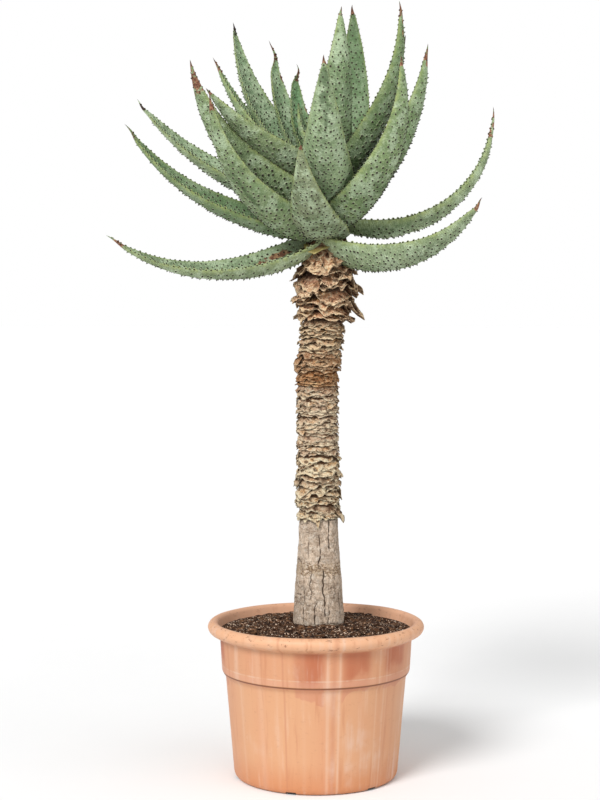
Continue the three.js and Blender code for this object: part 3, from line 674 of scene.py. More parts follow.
def bark_material(settings):
    """Bare bark: mottled, with pale flakes, seams between its plates, dark cracks, and painted shade
    where the bases and soil hide it.
    """
    material, nodes = new_material("bare_bark", 0.25)
    vector = nodes.place()
    lines = drawn_lines(nodes, vector, (330, 330, 60))
    specks = mottle(nodes, vector, settings.bark_colour, (0.30, 0.235, 0.175), 30.0, 0.42)
    pits = nodes.noise(vector, 260.0, 5.0, 0.7)
    pale = nodes.span(nodes.noise(vector, 120.0, 5.0, 0.7), 0.48, 0.62, 0.0, 0.75)
    nodes.coat(pale, (0.84, 0.74, 0.62))
    nodes.coat(nodes.times(lines, 0.42), (0.24, 0.18, 0.13))
    nodes.coat(nodes.span(pits, 0.46, 0.34, 0.0, 0.75), (0.20, 0.14, 0.095))
    for size, strength in ((30.0, 1.0), (80.0, 0.7)):
        web = nodes.noise(nodes.stretch(vector, (1.0, 1.0, 1.5)), size, 5.0, 0.65)
        web = nodes.math("ABSOLUTE", nodes.math("SUBTRACT", web, 0.5))
        seam = nodes.span(web, 0.006, 0.034, strength, 0.0)
        seam = nodes.times(seam, nodes.span(nodes.value("rough"), 0.0, 0.8, 0.45, 1.0))
        nodes.coat(seam, (0.16, 0.095, 0.05))
    plate = nodes.span(nodes.value("plate"), -0.8, 0.1, 0.5, 0.0)
    nodes.coat(plate, (0.22, 0.165, 0.12))
    tan = nodes.times(nodes.value("rough"), nodes.span(specks, 0.4, 0.6))
    nodes.coat(nodes.times(tan, 0.5), (0.50, 0.36, 0.22))
    nodes.coat(nodes.span(nodes.value("crack"), 0.15, 0.75), (0.07, 0.045, 0.03))
    # Painted shade: near black where the bases or the soil hide the stem
    nodes.coat(nodes.value("inside"), (0.045, 0.025, 0.014))
    relief = nodes.plus(lines, nodes.times(pits, 2.5))
    nodes.surface(0.9, relief, 0.9, 0.0013)
    return material


# Dead leaf bases

def add_base(shape, rng, turn, top, span, hang, inner, hem, sort, point, fresh=0.0):
    """One dried leaf base: a thin sheet that clasps the stem. It starts on a level line round
    the stem, widens outward as it hangs down to a ragged crescent or pointed hem, and its
    edge rolls out. The outer and inner faces join at the hem and end in a point at each side."""
    arc = math.radians(span) * SPAN_RADIUS
    columns = 10 + int(arc / BASE_COLUMN)
    outside = np.linspace(0, 1, BASE_ROWS) ** 0.8
    inside = outside[::-2]
    drop = np.concatenate([outside, inside])[:, None]
    back = np.repeat([0.0, 1.0], [len(outside), len(inside)])[:, None]
    even = np.linspace(-1, 1, columns + 2)[1:-1]
    across = lerp(even, np.sin(even * np.pi / 2), 0.5)[None, :]
    draw = rng.uniform(0, 900)
    along = across * arc / 2 + draw * 30
    wide, fine = noise(along / 20, layers=2), noise(along / 6, seed=3, layers=2)
    torn = smooth((noise(along / 9, seed=13) - 0.4) / 0.15)
    crescent = (1 - np.abs(across) ** 5) ** 0.6
    pointed = 1 - np.abs(across) ** 1.15
    shape_across = lerp(crescent, pointed, point)
    reach = hang * shape_across * (1 + 0.3 * wide + 0.35 * fine) * (1 - 0.35 * torn)
    lean = sort["lean"] * rng.uniform(-1, 1) * across
    start = top + np.minimum(lean, 0) + 0.12 * hang * noise(along / 24, seed=7)
    height = start - reach * drop
    folds = 1 - 2 * np.abs(noise(along / 7, drop * 1.4, seed=5, layers=2))
    roll = smooth((drop - 0.7) / 0.3) * (0.6 + 0.9 * noise(along / 15, seed=9))
    radius = inner + (hem - inner) * drop ** 1.4 * (0.5 + 0.5 * shape_across)
    radius = radius + sort["ripple"] * (folds - 0.4) * drop + sort["curl"] * roll
    thick = sort["thick"] * (0.45 + 0.55 * (1 - np.abs(across) ** 3)) * (1 - 0.3 * drop)
    radius = radius - back * thick
    turns = np.radians(turn + span / 2 * across)
    points = round_stem(turns, radius, height)
    tone = rng.uniform(0, 1)
    places = map_grid(along[0] * MAP_UNIT, np.append(drop[:, 0], 0) * hang * MAP_UNIT)
    values = {"hem": drop, "inner_face": back, "tone": tone, "fresh": fresh,
              "fold": 0.5 + 0.5 * folds}
    rings = shape.grid(points, places, values, wrap=(True, False), flip=True)
    ends = {"hem": 0.0, "inner_face": 0.0, "tone": tone, "fold": 0.5}
    for side, column in ((-1, 0), (1, -1)):
        at = np.radians(turn + side * span / 2)
        spot = directions(at) * inner + np.array([stem_offset(top), 0, top])
        shape.fan(rings[:, column], spot, places[0, column], ends, flip=side > 0)


def add_tube(shape, sort):
    """The lumpy tube on the stem that the bases hang from, painted dark as the shade under them."""
    foot, top = sort["foot"] + 1, sort["top"] - 1
    outside = np.arange(foot, top + 0.1, (top - foot) / max(6, round((top - foot) / 4)))
    heights = np.concatenate([outside, [top, foot]])
    walls = np.concatenate([np.full(len(outside), sort["inner"]), [TUBE_BORE, TUBE_BORE]])[:, None]
    turns, rows = np.meshgrid(full_turn(TUBE_COLUMNS), heights)
    lumps = noise(np.cos(turns) * 4, np.sin(turns) * 4, rows / 4, seed=sort["seed"], layers=2)
    points = round_stem(turns, walls + 1.2 * lumps * (walls > TUBE_BORE), rows)
    places = map_grid(np.arange(TUBE_COLUMNS + 1) * 0.025, np.append(heights, foot) * MAP_UNIT)
    # Hem 0 and fold 0.3 give the tube the bases' painted shade
    shape.grid(points, places, {"hem": 0.0, "tone": 0.2, "fold": 0.3}, wrap=(True, True))


def add_rows(shape, rng, sort):
    """Rows of bases that lap from the top down like shingles. The leaves' feet press the
    highest ones flat."""
    inner, step = sort["inner"], (sort["top"] - sort["foot"]) / sort["rows"]
    for row in range(sort["rows"]):
        first = rng.uniform(0, 360)
        for number in range(ROW_BASES):
            turn = first + (number + rng.uniform(-0.22, 0.22)) * 360 / ROW_BASES
            span = 360 / ROW_BASES * rng.uniform(1.05, 1.75)
            hang = step * sort["hang"] * rng.uniform(0.7, 1.3)
            start = sort["foot"] + (row + 1) * step + step * rng.uniform(-0.2, 0.3)
            hang = min(hang, start - sort["foot"] + 2)
            hem = lerp(inner, sort["hem"], rng.uniform(0.5, 1.15))
            if start > PRESSED_ABOVE:
                hem = min(hem, PRESSED_HEM)
            start = min(start, sort["top"] + 2)
            add_base(shape, rng, turn, start, span, hang, inner - 0.6, hem, sort, sort["point"])


def make_sleeve(name, sort):
    """A sleeve of dead leaf bases: a tube on the stem, rows of bases and single loose ones,
    drawn from one seed."""
    rng = np.random.default_rng(sort["seed"])
    shape = Shape()
    add_tube(shape, sort)
    add_rows(shape, rng, sort)
    for turn, start, span, hang, hem, point, fresh in LOOSE_BASES.get(name, []):
        add_base(shape, rng, turn, start, span, hang, sort["inner"], hem, sort, point, fresh)
    node = f"dead_leaf_bases_{name}"
    shape.build(f"{node}_layered", dead_base_material(f"{node}_dry", sort), sort["slot"], node)


def dead_base_material(name, sort):
    """Dry leaf bases: mottled, with grain, pale hems with a painted highlight, a rust stain and
    painted shade in their depths.
    """
    material, nodes = new_material(name, 0.2)
    vector, hem, tone = nodes.place(), nodes.value("hem"), nodes.value("tone")
    lines = drawn_lines(nodes, nodes.place("UV"), sort["grain"])
    specks = mottle(nodes, vector, sort["body"], sort["gap"], 60.0, 0.2)
    tan = nodes.span(nodes.noise(vector, 75.0, 3.0), 0.50, 0.64, 0.0, 0.6)
    nodes.coat(tan, (0.80, 0.42, 0.15))
    flecks = nodes.noise(nodes.stretch(vector, (1.0, 1.0, 1.6)), 150.0, 4.0, 0.6)
    nodes.coat(nodes.span(flecks, 0.51, 0.60, 0.0, 0.9), sort["edge"])
    nodes.coat(nodes.span(tone, 0.5, 1.0, 0.0, 0.5), sort["edge"])
    nodes.coat(nodes.span(tone, 0.4, 0.0, 0.0, 0.45), (0.40, 0.22, 0.15))
    # Pale hems: their own paler dry edge, with a painted highlight where the hem catches the light
    ragged = nodes.plus(hem, nodes.span(specks, 0.3, 0.7, -0.2, 0.2))
    nodes.coat(nodes.span(ragged, 0.78, 1.02, 0.0, 0.9), sort["edge"])
    nodes.coat(nodes.span(flecks, 0.46, 0.38, 0.0, 0.85), sort["gap"])
    nodes.coat(nodes.times(lines, 0.3), sort["gap"])
    # Painted shade in the hollows of the folds
    crease_shade = nodes.span(nodes.value("fold"), 0.66, 0.3, 0.0, 0.7)
    nodes.coat(crease_shade, sort["gap"])
    height = nodes.span(nodes.noise(vector, 45.0), 0.3, 0.7, -0.012, 0.012)
    height = nodes.plus(nodes.height(vector), height)
    low, high, fade = (RUST[key] * MM for key in ("low", "high", "fade"))
    rust = nodes.belt(height, low - fade, low, high, high + fade)
    rust = nodes.times(rust, nodes.span(specks, 0.38, 0.62, 0.1, 0.8))
    nodes.coat(rust, (0.34, 0.125, 0.04))
    # Painted shade: dark at the top of each row under the row above, on the inner faces, and high up
    # under the leaves
    deep = nodes.span(hem, 0.15, 0.52, 0.9, 0.0)
    nodes.coat(deep, sort["gap"])
    nodes.coat(nodes.times(nodes.value("inner_face"), 0.7), sort["gap"])
    nodes.coat(nodes.span(height, *CROWN_SHADE, 0.0, 0.7), sort["gap"])
    green = nodes.times(nodes.value("fresh"), nodes.span(hem, 0.3, 0.9))
    nodes.coat(green, (0.50, 0.47, 0.12))
    relief = nodes.plus(lines, nodes.times(flecks, 2.0))
    nodes.surface(0.85, relief, 0.9, 0.0014)
    return material


# Leaves

def leaf_line(leaf, share):
    """The middle line of a leaf, an arc whose slope changes evenly from foot to tip, with its
    three directions: along it, up from the channelled face, and across to the right margin."""
    turn, foot, length, low, high, _, roll = leaf
    turn, low, change = math.radians(turn), math.radians(low), math.radians(high - low)
    slope = (low + change * share)[..., None]
    reach = length / change * (np.sin(slope) - math.sin(low))
    climb = length / change * (math.cos(low) - np.cos(slope))
    outward, up = np.array([math.cos(turn), math.sin(turn), 0]), np.array([0, 0, 1.0])
    middle = np.array([stem_offset(foot), 0, foot])
    place = middle + outward * (LEAF_START + reach) + up * climb
    along = outward * np.cos(slope) + up * np.sin(slope)
    face = up * np.cos(slope) - outward * np.sin(slope)
    side = np.cross(along, face)
    roll = math.radians(roll)
    upper = face * math.cos(roll) + side * math.sin(roll)
    across = side * math.cos(roll) - face * math.sin(roll)
    return place, along, upper, across


def leaf_section(name, share):
    """Half width, thickness, depth of the channel, and how far the margins clasp back. The
    width falls by the share to the power of the taper, and the foot opens out smoothly."""
    width = LEAVES[name][5]
    plain = (FOOT_SHARE[name.split("_")[0]], LEAF_CLASP, LEAF_CHANNEL, LEAF_TAPER)
    foot, clasp, hollow, taper = OWN_FORMS.get(name, plain)
    opening = smooth(share / LEAF_FOOT)
    half = width / 2 * (1 - share ** taper) * lerp(foot, 1, opening)
    thick = LEAF_THICKNESS * (1 - share ** 2.2) ** 0.8 * lerp(0.75, 1, opening)
    channel = hollow * half * (1 - 0.55 * smooth((share - 0.35) / 0.5))
    return half, thick, channel, clasp * (1 - opening)


def leaf_surface(name, share, angle):
    """Points on a leaf's skin. Round the leaf, angle 0 is the right margin, 90 the middle of
    the channel, 180 the left margin and 270 the middle of the rounded back. Across, the skin
    goes by the angle's cosine; up, both faces sink by the square of its sine, and the back
    bulges by its sine. The margins wave a little, the dry tip shrinks and curls, and the skin
    has shallow dimples."""
    leaf = LEAVES[name]
    seed = list(LEAVES).index(name)
    dry, curl, _ = TIPS.get(name, PLAIN_TIP)
    place, along, upper, across = leaf_line(leaf, share)
    half, thick, channel, clasp = leaf_section(name, share)
    bulge, lean = np.sin(angle), np.cos(angle)
    withered = smooth((share - 1 + 1.5 * dry) / dry)
    half = half * (1 + 0.025 * noise(share * 11 + seed * 7, lean * 0.6, seed=seed))
    half = half * (1 - min(0.13 * curl, 0.6) * withered)
    height = thick * np.minimum(bulge, 0) - channel * bulge ** 2 + channel + thick / 2
    distance = share * leaf[2]
    dimples = noise(distance / 7, lean * half / 7, bulge * 2, seed=seed + 50, layers=2)
    swell = noise(distance / 38, lean * half / 30, bulge, seed=seed + 80)
    ridges = noise(distance / 150, np.cos(angle) * 3, bulge, seed=seed + 20)
    relief = 0.45 * dimples + 0.8 * swell + 1.3 * ridges
    relief = relief * smooth(share / 0.1) * (1 - share ** 3)
    height = height + relief * np.where(bulge < 0, -1, 1) * np.abs(bulge) ** 0.5
    sway = curl * smooth((share - 1 + 1.8 * dry) / (1.8 * dry))
    swing = sway * np.sin((1 - share) / dry * 3.3 + seed)
    sideways = half * lean + swing
    return (place + across * sideways[..., None]
            + upper * (height + 0.5 * swing)[..., None]
            - along * (clasp * lean ** 2)[..., None])


def skin_directions(name, share, angle):
    """Three directions on the skin, by a small step each way: across the surface, along it
    to the tip, and out of it."""
    step = 0.004
    along = leaf_surface(name, share + step, angle) - leaf_surface(name, share - step, angle)
    turned = leaf_surface(name, share, angle + step) - leaf_surface(name, share, angle - step)
    out = np.cross(along, turned)
    out /= np.linalg.norm(out, axis=-1, keepdims=True)
    along /= np.linalg.norm(along, axis=-1, keepdims=True)
    return np.stack([np.cross(along, out), along, out], -2)


def prickle_form():
    """A prickle: rings of one count round a point, from a low pale wart to a dark spike that
    leans to the leaf's tip."""
    circle = directions(full_turn(PRICKLE_SIDES))
    points, dark, pale = [], [], []
    for radius, height, darkness, paleness in PRICKLE_RINGS:
        middle = (0, 0.12 * max(height, 0) ** 2, height)
        points.append(circle * radius + middle)
        dark += [darkness] * PRICKLE_SIDES
        pale += [paleness] * PRICKLE_SIDES
    points.append(np.array([(0, *PRICKLE_POINT)]))
    ring = np.arange(PRICKLE_SIDES)
    following = (ring + 1) % PRICKLE_SIDES
    quads = [np.stack([ring, following, following + PRICKLE_SIDES, ring + PRICKLE_SIDES], -1)
             + level * PRICKLE_SIDES for level in range(len(PRICKLE_RINGS) - 1)]
    last = (len(PRICKLE_RINGS) - 1) * PRICKLE_SIDES
    tip = np.full(PRICKLE_SIDES, last + PRICKLE_SIDES)
    triangles = np.stack([ring + last, following + last, tip], -1)
    own = {"spine": np.array(dark + [1.0]), "wart": np.array(pale + [0.0])}
    return np.concatenate(points), [np.concatenate(quads), triangles], own


def leaf_marks(marks, name, share, angle, half):
    """How strong the leaf's marks are, falling off from each middle as a bell curve does."""
    total = np.zeros(np.broadcast(share, angle).shape)
    for at, turn, long_half, wide_half, *strength in marks.get(name, []):
        along = (share - at) * LEAVES[name][2] / long_half
        away = wrapped(angle - math.radians(turn)) * half / wide_half
        mark = np.exp(-along ** 2 - away ** 2) * (strength[0] if strength else 1)
        total = np.maximum(total, mark)
    return total


def leaf_values(name, share, angle):
    """What the skin's colour depends on: place along the leaf, nearness to a margin, which
    face it is, how dry it is, its scars, its bruises and painted shade, and the leaf's own tone."""
    dry, _, dark = TIPS.get(name, PLAIN_TIP)
    grey, pale = TONES.get(name, PLAIN_TONE)
    half = leaf_section(name, np.clip(share, 0, 0.995))[0]
    inward = half * (1 - np.abs(np.cos(angle)))
    return {
        "share": share, "margin": np.exp(-inward / 1.6), "back": smooth(0.5 - 3 * np.sin(angle)),
        "dry": smooth((share - 1 + 1.25 * dry) / (0.5 * dry)), "scorch": dark,
        "scar": leaf_marks(SCARS, name, share, angle, half),
        "bruise_and_shade": leaf_marks(BRUISES_AND_SHADE, name, share, angle, half), "grey": grey, "pale": pale,
    }


def leaf_map(name, share, angle):
    """The skin's map: across by the distance round the leaf, and along by its length."""
    half = leaf_section(name, np.clip(share, 0, 0.995))[0]
    round_leaf, along = angle * np.maximum(half, 4), share * LEAVES[name][2]
    return np.stack([round_leaf * MAP_UNIT, along * MAP_UNIT], -1)


def make_leaf(name, settings, material, form):
    """A leaf: its skin over a grid of shares and angles, prickles in staggered rows on both
    faces out to the tip, and teeth along both margins, drawn from one seed."""
    rng = np.random.default_rng(list(LEAVES).index(name) + 100)
    shape = Shape()
    share = np.append(np.linspace(0, 1, LEAF_ROWS)[:-1], LEAF_LAST_RING)
    angle = np.arange(LEAF_COLUMNS + 1) / LEAF_COLUMNS * 2 * np.pi
    shares, angles = np.meshgrid(share, angle[:-1], indexing="ij")
    points = leaf_surface(name, shares, angles)
    places = leaf_map(name, *np.meshgrid(share, angle, indexing="ij"))
    values = leaf_values(name, shares, angles)
    values.update(spine=0.0, wart=0.0)
    rings = shape.grid(points, places, values, wrap=(False, True), flip=True)
    tip = leaf_surface(name, np.array([LEAF_POINT]), np.array([0.0]))[0]
    ends = {"share": 1.0, "dry": 1.0, "scorch": values["scorch"]}
    shape.fan(rings[-1], tip, (0, share[-1]), ends, flip=True)
    shape.fan(rings[0], points[0].mean(0), (0, 0), {})
    size = settings.prickle_height / MM / PRICKLE_POINT[1]
    spots = prickle_spots(name, rng, settings.prickle_spacing / MM)
    add_prickles(shape, name, rng, form, *spots, size)
    add_teeth(shape, name, rng, form, size)
    shape.build(f"leaf_{name}_skin", material, "leaf", f"leaf_{name}")


def prickle_spots(name, rng, spacing):
    """Places for prickles: a staggered lattice laid over the flattened leaf, a little drawn
    aside each, kept where it falls on the leaf, once for each face."""
    length = LEAVES[name][2]
    found = []
    for face, pitch in ((1, spacing * 1.12), (-1, spacing)):
        rows = np.arange(PRICKLES_FROM * length, PRICKLES_TO * length, pitch * 0.8)
        columns = np.arange(-8, 9) * pitch
        distance, aside = np.meshgrid(rows, columns, indexing="ij")
        aside = aside + pitch / 2 * (np.arange(len(rows)) % 2)[:, None]
        distance = distance + pitch * rng.uniform(-0.3, 0.3, distance.shape)
        aside = aside + pitch * rng.uniform(-0.3, 0.3, aside.shape)
        share = distance / length
        half = leaf_section(name, share)[0]
        stretch = 1.15 if face > 0 else 1.3
        kept = np.abs(aside) < half * stretch - 3.5
        angle = np.arccos(np.clip(aside / (half * stretch), -1, 1)) * face
        found.append(np.stack([share[kept], angle[kept]]))
    return np.concatenate(found, 1)


def add_prickles(shape, name, rng, form, share, angle, size):
    """Prickles that stand on the skin, each of its own size and smaller to the tip."""
    places = leaf_surface(name, share, angle)
    sides = skin_directions(name, share, angle)
    grown = size * rng.uniform(0.75, 1.15, len(share)) * (1 - 0.35 * share ** 2)
    shape.copies(form, places, sides, grown, leaf_map(name, share, angle),
                 leaf_values(name, share, angle))


def add_teeth(shape, name, rng, form, size):
    """Teeth on both margins, which point out and towards the tip."""
    length = LEAVES[name][2]
    for angle in (0.0, np.pi):
        share = np.arange(TEETH_FROM * length, TEETH_TO * length, TOOTH_SPACING) / length
        share = share + rng.uniform(-0.25, 0.25, len(share)) * TOOTH_SPACING / length
        _, along, upper, across = leaf_line(LEAVES[name], share)
        out = across * (1 if angle == 0 else -1) + 0.25 * along
        out /= np.linalg.norm(out, axis=-1, keepdims=True)
        lengthwise = np.cross(out, upper)
        lengthwise *= np.sign(np.sum(lengthwise * along, -1, keepdims=True))
        sides = np.stack([np.cross(lengthwise, out), lengthwise, out], -2)
        angles = np.full(len(share), angle)
        places = leaf_surface(name, share, angles) - out * 0.3
        grown = size * rng.uniform(0.6, 0.95, len(share)) * (1 - 0.3 * share ** 2)
        shape.copies(form, places, sides, grown, leaf_map(name, share, angles),
                     leaf_values(name, share, angles))


def leaf_material(settings):
    """The living skin with its marks, then the dry tip, then the prickles."""
    material, nodes = new_material("leaf_skin", 0.3)
    vector, skin, share = nodes.place(), nodes.place("UV"), nodes.value("share")
    lines = drawn_lines(nodes, skin, (42, 5, 1))
    dashes = drawn_lines(nodes, skin, (21, 56, 1))
    uneven = nodes.noise(vector, 130.0, 4.0)
    specks = paint_skin(nodes, settings, vector, share, lines, dashes)
    rim = nodes.times(nodes.value("margin"), nodes.span(uneven, 0.35, 0.65, 0.15, 0.7))
    nodes.coat(rim, settings.margin_colour)
    scar = paint_marks(nodes, uneven)
    withering = nodes.times(nodes.value("dry"), nodes.span(uneven, 0.35, 0.65, 0.2, 1.8))
    tip = nodes.span(withering, 0.3, 0.7)
    nodes.coat(tip, dry_tip_colour(nodes, settings, vector, share))
    spine = nodes.span(nodes.value("spine"), 0.25, 0.75)
    nodes.coat(spine, settings.prickle_colour)
    worn = nodes.math("MAXIMUM", tip, scar)
    relief = nodes.plus(nodes.times(lines, 0.5), specks, dashes)
    nodes.surface(nodes.span(worn, 0.0, 1.0, 0.55, 0.85), relief, 0.7, 0.0011)
    return material


def paint_skin(nodes, settings, vector, share, lines, dashes):
    """The living skin: each leaf's own tone, a yellower foot, bloom, grain and warts, and painted
    shade on leaves whose paleness is below 0. Gives the fine specks in it as values."""
    pale = nodes.value("pale")
    nodes.colour = settings.upper_colour
    nodes.coat(nodes.value("back"), settings.lower_colour)
    nodes.coat(nodes.value("grey"), settings.grey_colour)
    nodes.coat(nodes.times(pale, 0.45), settings.bloom_colour)
    foot = nodes.span(share, 0.0, 0.24, 0.5, 0.0)
    nodes.coat(foot, (0.33, 0.36, 0.16))
    specks = mottle(nodes, vector, nodes.colour, (0.09, 0.14, 0.065), 24.0, 0.5)
    bloom = nodes.span(nodes.noise(vector, 45.0, 4.0, 0.65), 0.46, 0.60, 0.0, 0.75)
    nodes.coat(bloom, settings.bloom_colour)
    nodes.coat(nodes.times(lines, 0.2), (0.08, 0.12, 0.06))
    flecks = nodes.span(nodes.noise(vector, 190.0, 4.0, 0.7), 0.52, 0.64, 0.0, 0.35)
    nodes.coat(flecks, (0.60, 0.71, 0.47))
    broad = nodes.span(nodes.noise(vector, 10.0, 2.0), 0.46, 0.32, 0.0, 0.4)
    nodes.coat(broad, (0.13, 0.24, 0.09))
    # Painted shade: a darker green on leaves whose paleness is below 0
    deep = nodes.span(pale, 0.0, -1.0, 0.0, 0.5)
    nodes.coat(deep, (0.10, 0.18, 0.07))
    hollow = nodes.span(dashes, 0.5, 0.1, 0.0, 0.5)
    nodes.coat(hollow, (0.07, 0.10, 0.05))
    nodes.coat(nodes.times(nodes.value("wart"), 0.45), (0.42, 0.45, 0.28))
    return specks


def paint_marks(nodes, uneven):
    """Bruises and painted shade, and scars, with uneven edges. Gives how scarred the skin is."""
    # Dark green: bruises, and painted shade along low_7's lower face
    bruise_and_shade = nodes.plus(nodes.value("bruise_and_shade"), nodes.span(uneven, 0.3, 0.7, -0.3, 0.3))
    nodes.coat(nodes.span(bruise_and_shade, 0.3, 0.8, 0.0, 0.7), (0.055, 0.10, 0.035))
    edge = nodes.plus(nodes.value("scar"), nodes.span(uneven, 0.3, 0.7, -0.25, 0.25))
    scar = nodes.span(edge, 0.32, 0.52)
    colour = nodes.mix(nodes.span(uneven, 0.4, 0.6), (0.42, 0.25, 0.13), (0.16, 0.07, 0.04))
    nodes.coat(scar, colour)
    return scar


def dry_tip_colour(nodes, settings, vector, share):
    """Mottled tans, darker at the very end and on leaves with a dark tip."""
    fine = nodes.noise(vector, 330.0, 3.0)
    colour = nodes.mix(nodes.span(fine, 0.42, 0.56), settings.tip_colour, (0.19, 0.075, 0.045))
    colour = nodes.mix(nodes.span(fine, 0.40, 0.30, 0.0, 0.7), colour, (0.56, 0.36, 0.21))
    dark = nodes.math("MAXIMUM", nodes.value("scorch"), nodes.span(share, 0.95, 0.985, 0.0, 0.7))
    return nodes.mix(dark, colour, (0.035, 0.022, 0.018))


# Soil

def make_soil(settings):
    """The soil: rings up the pot's inner wall, then in over a lumpy mound to the stem, and
    down its hole. Chips of bark lie half sunk in it, and half as many bits of pale grit."""
    gap, middle, floor = SOIL["gap"], STEM[0, 1], SOIL["hole_floor"]
    turn = full_turn(SOIL_COLUMNS)
    wall = [(radius - gap, height + gap) for radius, height in POT_OUTLINE[-2:-7:-1]]
    wall.append((SOIL["edge_radius"], SOIL["edge"]))
    rings = [directions(turn) * radius + np.array([0, 0, height]) for radius, height in wall]
    rings += [soil_top(turn, np.full(SOIL_COLUMNS, share))
              for share in np.linspace(0, 1, SOIL_RINGS + 1)[1:]]
    hole = rings[-1].copy()
    hole[:, 2] = floor
    rings.append(hole)
    places = map_grid(np.arange(SOIL_COLUMNS + 1) * 0.04, np.arange(len(rings)) * 0.03)
    shape = Shape()
    numbers = shape.grid(np.stack(rings), places, {"tone": 0.3, "grit": 0.0}, wrap=(False, True))
    shape.fan(numbers[0], (0, 0, wall[0][1]), (0, 0), {}, flip=True)
    shape.fan(numbers[-1], (middle, 0, floor), (0, 0), {})
    rng = np.random.default_rng(3)
    chip_size = settings.chip_size / MM
    add_chips(shape, rng, settings.chips, chip_size, False)
    add_chips(shape, rng, settings.chips // 2, chip_size * SOIL["grit"], True)
    shape.build("soil_mix", soil_material(settings), "soil", "soil")


def soil_top(turn, share):
    """Points on the soil, a share of the way from the wall to the stem: they rise smoothly
    to the stem, with lumps of noise that are calm at both edges."""
    edge = directions(turn) * SOIL["edge_radius"]
    hole = directions(turn) * SOIL["hole"] + np.array([STEM[0, 1], 0, 0])
    points = lerp(edge, hole, share[..., None])
    x, y = points[..., 0], points[..., 1]
    lumps = noise(x / 11, y / 11, seed=21, layers=3) + 0.8 * noise(x / 3.4, y / 3.4, seed=22)
    level = lerp(SOIL["edge"], SOIL["at_stem"], smooth(share))
    calm = smooth(share / 0.04) * smooth((1 - share) / 0.03)
    points[..., 2] = level + SOIL["lump"] * lumps * calm
    return points


def add_chips(shape, rng, count, size, grit):
    """Bark chips are drawn-out six-sided lumps, and grit is small and round. Each is turned
    at random and half sunk."""
    turn = rng.uniform(0, 2 * np.pi, count)
    share = 1 - np.sqrt(rng.uniform(0.12, 0.98, count))
    share = np.clip(share * 1.45, 0.03, 0.985)
    places = soil_top(turn, share)
    uneven, long, tall = GRIT_FORM if grit else CHIP_FORM
    form = chip_form(uneven, rng)
    heading, tilt = rng.uniform(0, 2 * np.pi, count), rng.uniform(-0.5, 0.5, count)
    flat = directions(heading)
    up = np.array([0, 0, 1.0]) * np.cos(tilt)[:, None]
    up = up + directions(heading + 1) * np.sin(tilt)[:, None]
    side = np.cross(up, flat)
    side /= np.linalg.norm(side, axis=-1, keepdims=True)
    sides = np.stack([np.cross(side, up) * long, side, up * tall], -2)
    sizes = size * rng.uniform(0.45, 1.3, count) ** 1.2
    spread = np.hypot(places[:, 0], places[:, 1]) + sizes * 1.7
    inside = spread < SOIL["edge_radius"] - 1
    values = {"tone": rng.uniform(0, 1, count)[inside], "grit": np.full(inside.sum(), float(grit))}
    map_places = places[inside, :2] * MAP_UNIT
    shape.copies(form, places[inside], sides[inside], sizes[inside], map_places, values)


def chip_form(uneven, rng):
    """A lump: two points and two rings of six between them, drawn aside a little."""
    ring = directions(full_turn(6)) * 0.5
    points = np.concatenate([[(0, 0, -0.5)], ring + (0, 0, -0.25), ring + (0, 0, 0.25),
                             [(0, 0, 0.5)]])
    points = points + uneven * rng.uniform(-0.5, 0.5, points.shape)
    side = np.arange(6)
    after = (side + 1) % 6
    low = np.stack([after + 1, side + 1, np.zeros(6, int)], -1)
    high = np.stack([side + 7, after + 7, np.full(6, 13)], -1)
    middle = np.stack([side + 1, after + 1, after + 7, side + 7], -1)
    return points, [middle, np.concatenate([low, high])], {}


def soil_material(settings):
    """Potting mix: dark clods and chips, pale specks and grit."""
    material, nodes = new_material("potting_mix", 0.2)
    vector, tone, grit = nodes.place(), nodes.value("tone"), nodes.value("grit")
    mottle(nodes, vector, settings.soil_colour, (0.045, 0.022, 0.012), 60.0, 0.45)
    nodes.coat(nodes.span(tone, 0.35, 1.0, 0.0, 0.55), (0.25, 0.125, 0.06))
    clods = nodes.noise(vector, 150.0, 4.0, 0.65)
    nodes.coat(nodes.span(clods, 0.53, 0.42, 0.0, 0.92), (0.02, 0.009, 0.005))
    specks = nodes.noise(vector, 330.0, 3.0, 0.6)
    nodes.coat(nodes.span(specks, 0.60, 0.65, 0.0, 0.9), (0.80, 0.60, 0.45))
    pale = nodes.mix(tone, settings.grit_colour, (0.33, 0.23, 0.15))
    nodes.coat(grit, pale)
    nodes.surface(0.95, clods, 0.9, 0.003)
    return material


# Pot

def rounded_outline(outline, radius, step):
    """The outline with each corner cut to a short curve, whose points are blended twice
    between the corner and its two ends, and with long runs split in even steps."""
    points = np.array(outline, float)
    made = [points[0]]
    for before, corner, after in zip(points, points[1:], points[2:]):
        back, ahead = before - corner, after - corner
        reach = min(radius, 0.45 * np.hypot(*back), 0.45 * np.hypot(*ahead))
        start = corner + back / np.hypot(*back) * reach
        end = corner + ahead / np.hypot(*ahead) * reach
        for share in (0, 0.35, 0.65, 1):
            made.append(lerp(lerp(start, corner, share), lerp(corner, end, share), share))
    made.append(points[-1])
    made = np.array(made)
    lengths = np.append(0, np.cumsum(np.hypot(*np.diff(made, axis=0).T)))
    extra = np.arange(0, lengths[-1], step)
    gaps = np.min(np.abs(extra[:, None] - lengths), 1) > step * 0.3
    at = np.sort(np.concatenate([lengths, extra[gaps]]))
    return np.stack([np.interp(at, lengths, made[:, 0]), np.interp(at, lengths, made[:, 1])], -1)


def beside_line(turn, at, wide, power):
    """1 at the direction at, in degrees, falling to 0 past wide degrees to either side."""
    away = np.degrees(wrapped(turn - math.radians(at)))
    return np.exp(-np.abs(away / wide) ** power)


def pot_directions():
    """The pot's columns in degrees: even ones, and two at each side of each drain notch."""
    edges = (NOTCH_HALF - 0.06, NOTCH_HALF + 0.06)
    sides = [NOTCH_MIDDLES + side * edge for side in (-1, 1) for edge in edges]
    return np.sort(np.concatenate([np.arange(0, 360, POT_TURN), np.concatenate(sides) % 360]))


